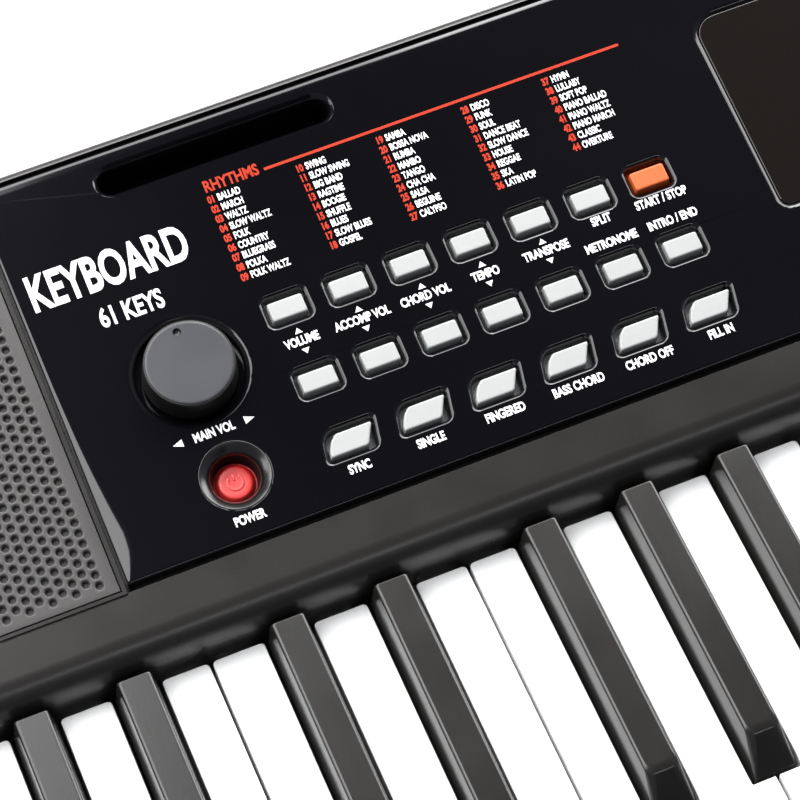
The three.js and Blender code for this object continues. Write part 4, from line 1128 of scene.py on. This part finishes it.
# Words under and over the controls, with the X and the distance up the panel of their middle
MARKED_LABELS = (
    ("VOLUME", -180.6, 40.2), ("ACCOMP VOL", -165.8, 40.2), ("CHORD VOL", -150.2, 40.2),
    ("TEMPO", -135.2, 40.2), ("TRANSPOSE", -119.9, 40.4),
)
PLAIN_LABELS = (
    ("SPLIT", -104.9, 43.0), ("START / STOP", -89.6, 43.0), ("METRONOME", -104.9, 37.0),
    ("INTRO / END", -89.3, 37.1), ("SYNC", -180.0, 7.0), ("SINGLE", -162.7, 7.0), ("FINGERED", -144.5, 7.0),
    ("BASS CHORD", -126.4, 7.0), ("CHORD OFF", -108.6, 7.1), ("FILL IN", -90.6, 7.2),
    ("MAIN VOL", -207.3, 26.8), ("POWER", -207.3, 4.8),
)
KNOB_MARKS = ((-215.6, -1), (-199.0, 1))
KNOB_MARK_S = 26.9
STYLES = ["BALLAD", "MARCH", "WALTZ", "SLOW WALTZ", "FOLK", "COUNTRY", "BLUEGRASS", "POLKA", "FOLK WALTZ",
          "SWING", "SLOW SWING", "BIG BAND", "RAGTIME", "BOOGIE", "SHUFFLE", "BLUES", "SLOW BLUES", "GOSPEL",
          "SAMBA", "BOSSA NOVA", "RUMBA", "MAMBO", "TANGO", "CHA CHA", "SALSA", "BEGUINE", "CALYPSO",
          "DISCO", "FUNK", "SOUL", "DANCE BEAT", "SLOW DANCE", "HOUSE", "REGGAE", "SKA", "LATIN POP",
          "HYMN", "LULLABY", "SOFT POP", "PIANO BALLAD", "PIANO WALTZ", "PIANO MARCH", "CLASSIC", "OVERTURE"]
LIST_COLUMNS = (-187.5, -165.6, -145.5, -123.8, -103.2)
LIST_ROWS, LIST_TOP, LIST_STEP, LIST_SIZE = 9, 80.6, 2.63, 1.72
RULE = rounded(-172.8, -82.5, 83.15, 83.85, 0.2, 3)


def control_labels():
    """Words of the controls, and the small triangles beside some of them."""
    texts, shapes = [], []
    for words, x, s in MARKED_LABELS:
        texts.append(text_mesh(words, x, s, LABEL))
        shapes += up_down_marks(x, s)
    for words, x, s in PLAIN_LABELS:
        texts.append(text_mesh(words, x, s, LABEL))
    for x, side in KNOB_MARKS:
        base = x - 0.9 * side
        shapes.append(flat_shape([(base, KNOB_MARK_S - 0.95 * side), (x + 1.5 * side, KNOB_MARK_S),
                                  (base, KNOB_MARK_S + 0.95 * side)]))
    return texts, shapes


def style_list():
    """Numbers and names of the styles, in columns."""
    numbers, names = [], []
    for index, words in enumerate(STYLES):
        column, row = divmod(index, LIST_ROWS)
        x, s = LIST_COLUMNS[column], LIST_TOP - row * LIST_STEP
        numbers.append(text_mesh(f"{index + 1:02d}", x + 0.55, s, LIST_SIZE, 0.72, 0.05))
        names.append(text_mesh(words, x + 2.05, s, LIST_SIZE, 0.62, 0.035, "LEFT"))
    return numbers, names


def add_panel_print():
    texts, shapes = control_labels()
    numbers, names = style_list()
    numbers.append(text_mesh("RHYTHMS", -180.8, 84.0, 2.8, 0.74, 0.03))
    texts += names
    texts.append(text_mesh("KEYBOARD", -215.3, 72.6, 8.6, 0.60, 0.03))
    texts.append(text_mesh("61 KEYS", -213.8, 61.6, 4.6, 0.66, 0.03))
    add_print("panel_print_white", texts, shapes, WHITE_PRINT)
    add_print("panel_print_red", numbers, [flat_shape(RULE)], RED_PRINT)


add_panel_print()

# ------------ underside, feet, screws and sockets


def add_softened_copy(node, slot, width, body=HOUSING):
    """The CAD shape of a node again, with its sharp edges rounded over by the given width."""
    source = frame["nodes"][node]
    obj = bpy.data.objects.new(node + "_softened", source.data.copy())
    obj.data.materials.clear()
    obj.data.transform(source.matrix_world)
    bpy.context.scene.collection.objects.link(obj)
    edit = bmesh.new()
    edit.from_mesh(obj.data)
    bmesh.ops.remove_doubles(edit, verts=edit.verts, dist=0.005 * MM)
    bmesh.ops.dissolve_limit(edit, angle_limit=math.radians(1.0), verts=edit.verts, edges=edit.edges)
    edit.to_mesh(obj.data)
    edit.free()
    bevel(obj, width, 2, 35.0)
    smooth(obj, 40.0)
    place(obj, slot, body, [node])


add_softened_copy("bottom_case", "case", 0.4)
for corner in ("front_left", "front_right", "rear_left", "rear_right"):
    add_softened_copy(f"rubber_foot_{corner}", "foot_rubber", 0.4)
for node, slot in (("case_screw_left", "steel"), ("case_screw_right", "steel"),
                   ("dc_power_inlet", "electrical"), ("headphone_jack", "electrical")):
    add_softened_copy(node, slot, 0.15)
add_softened_copy("battery_door", "case", 0.3, "battery_door")
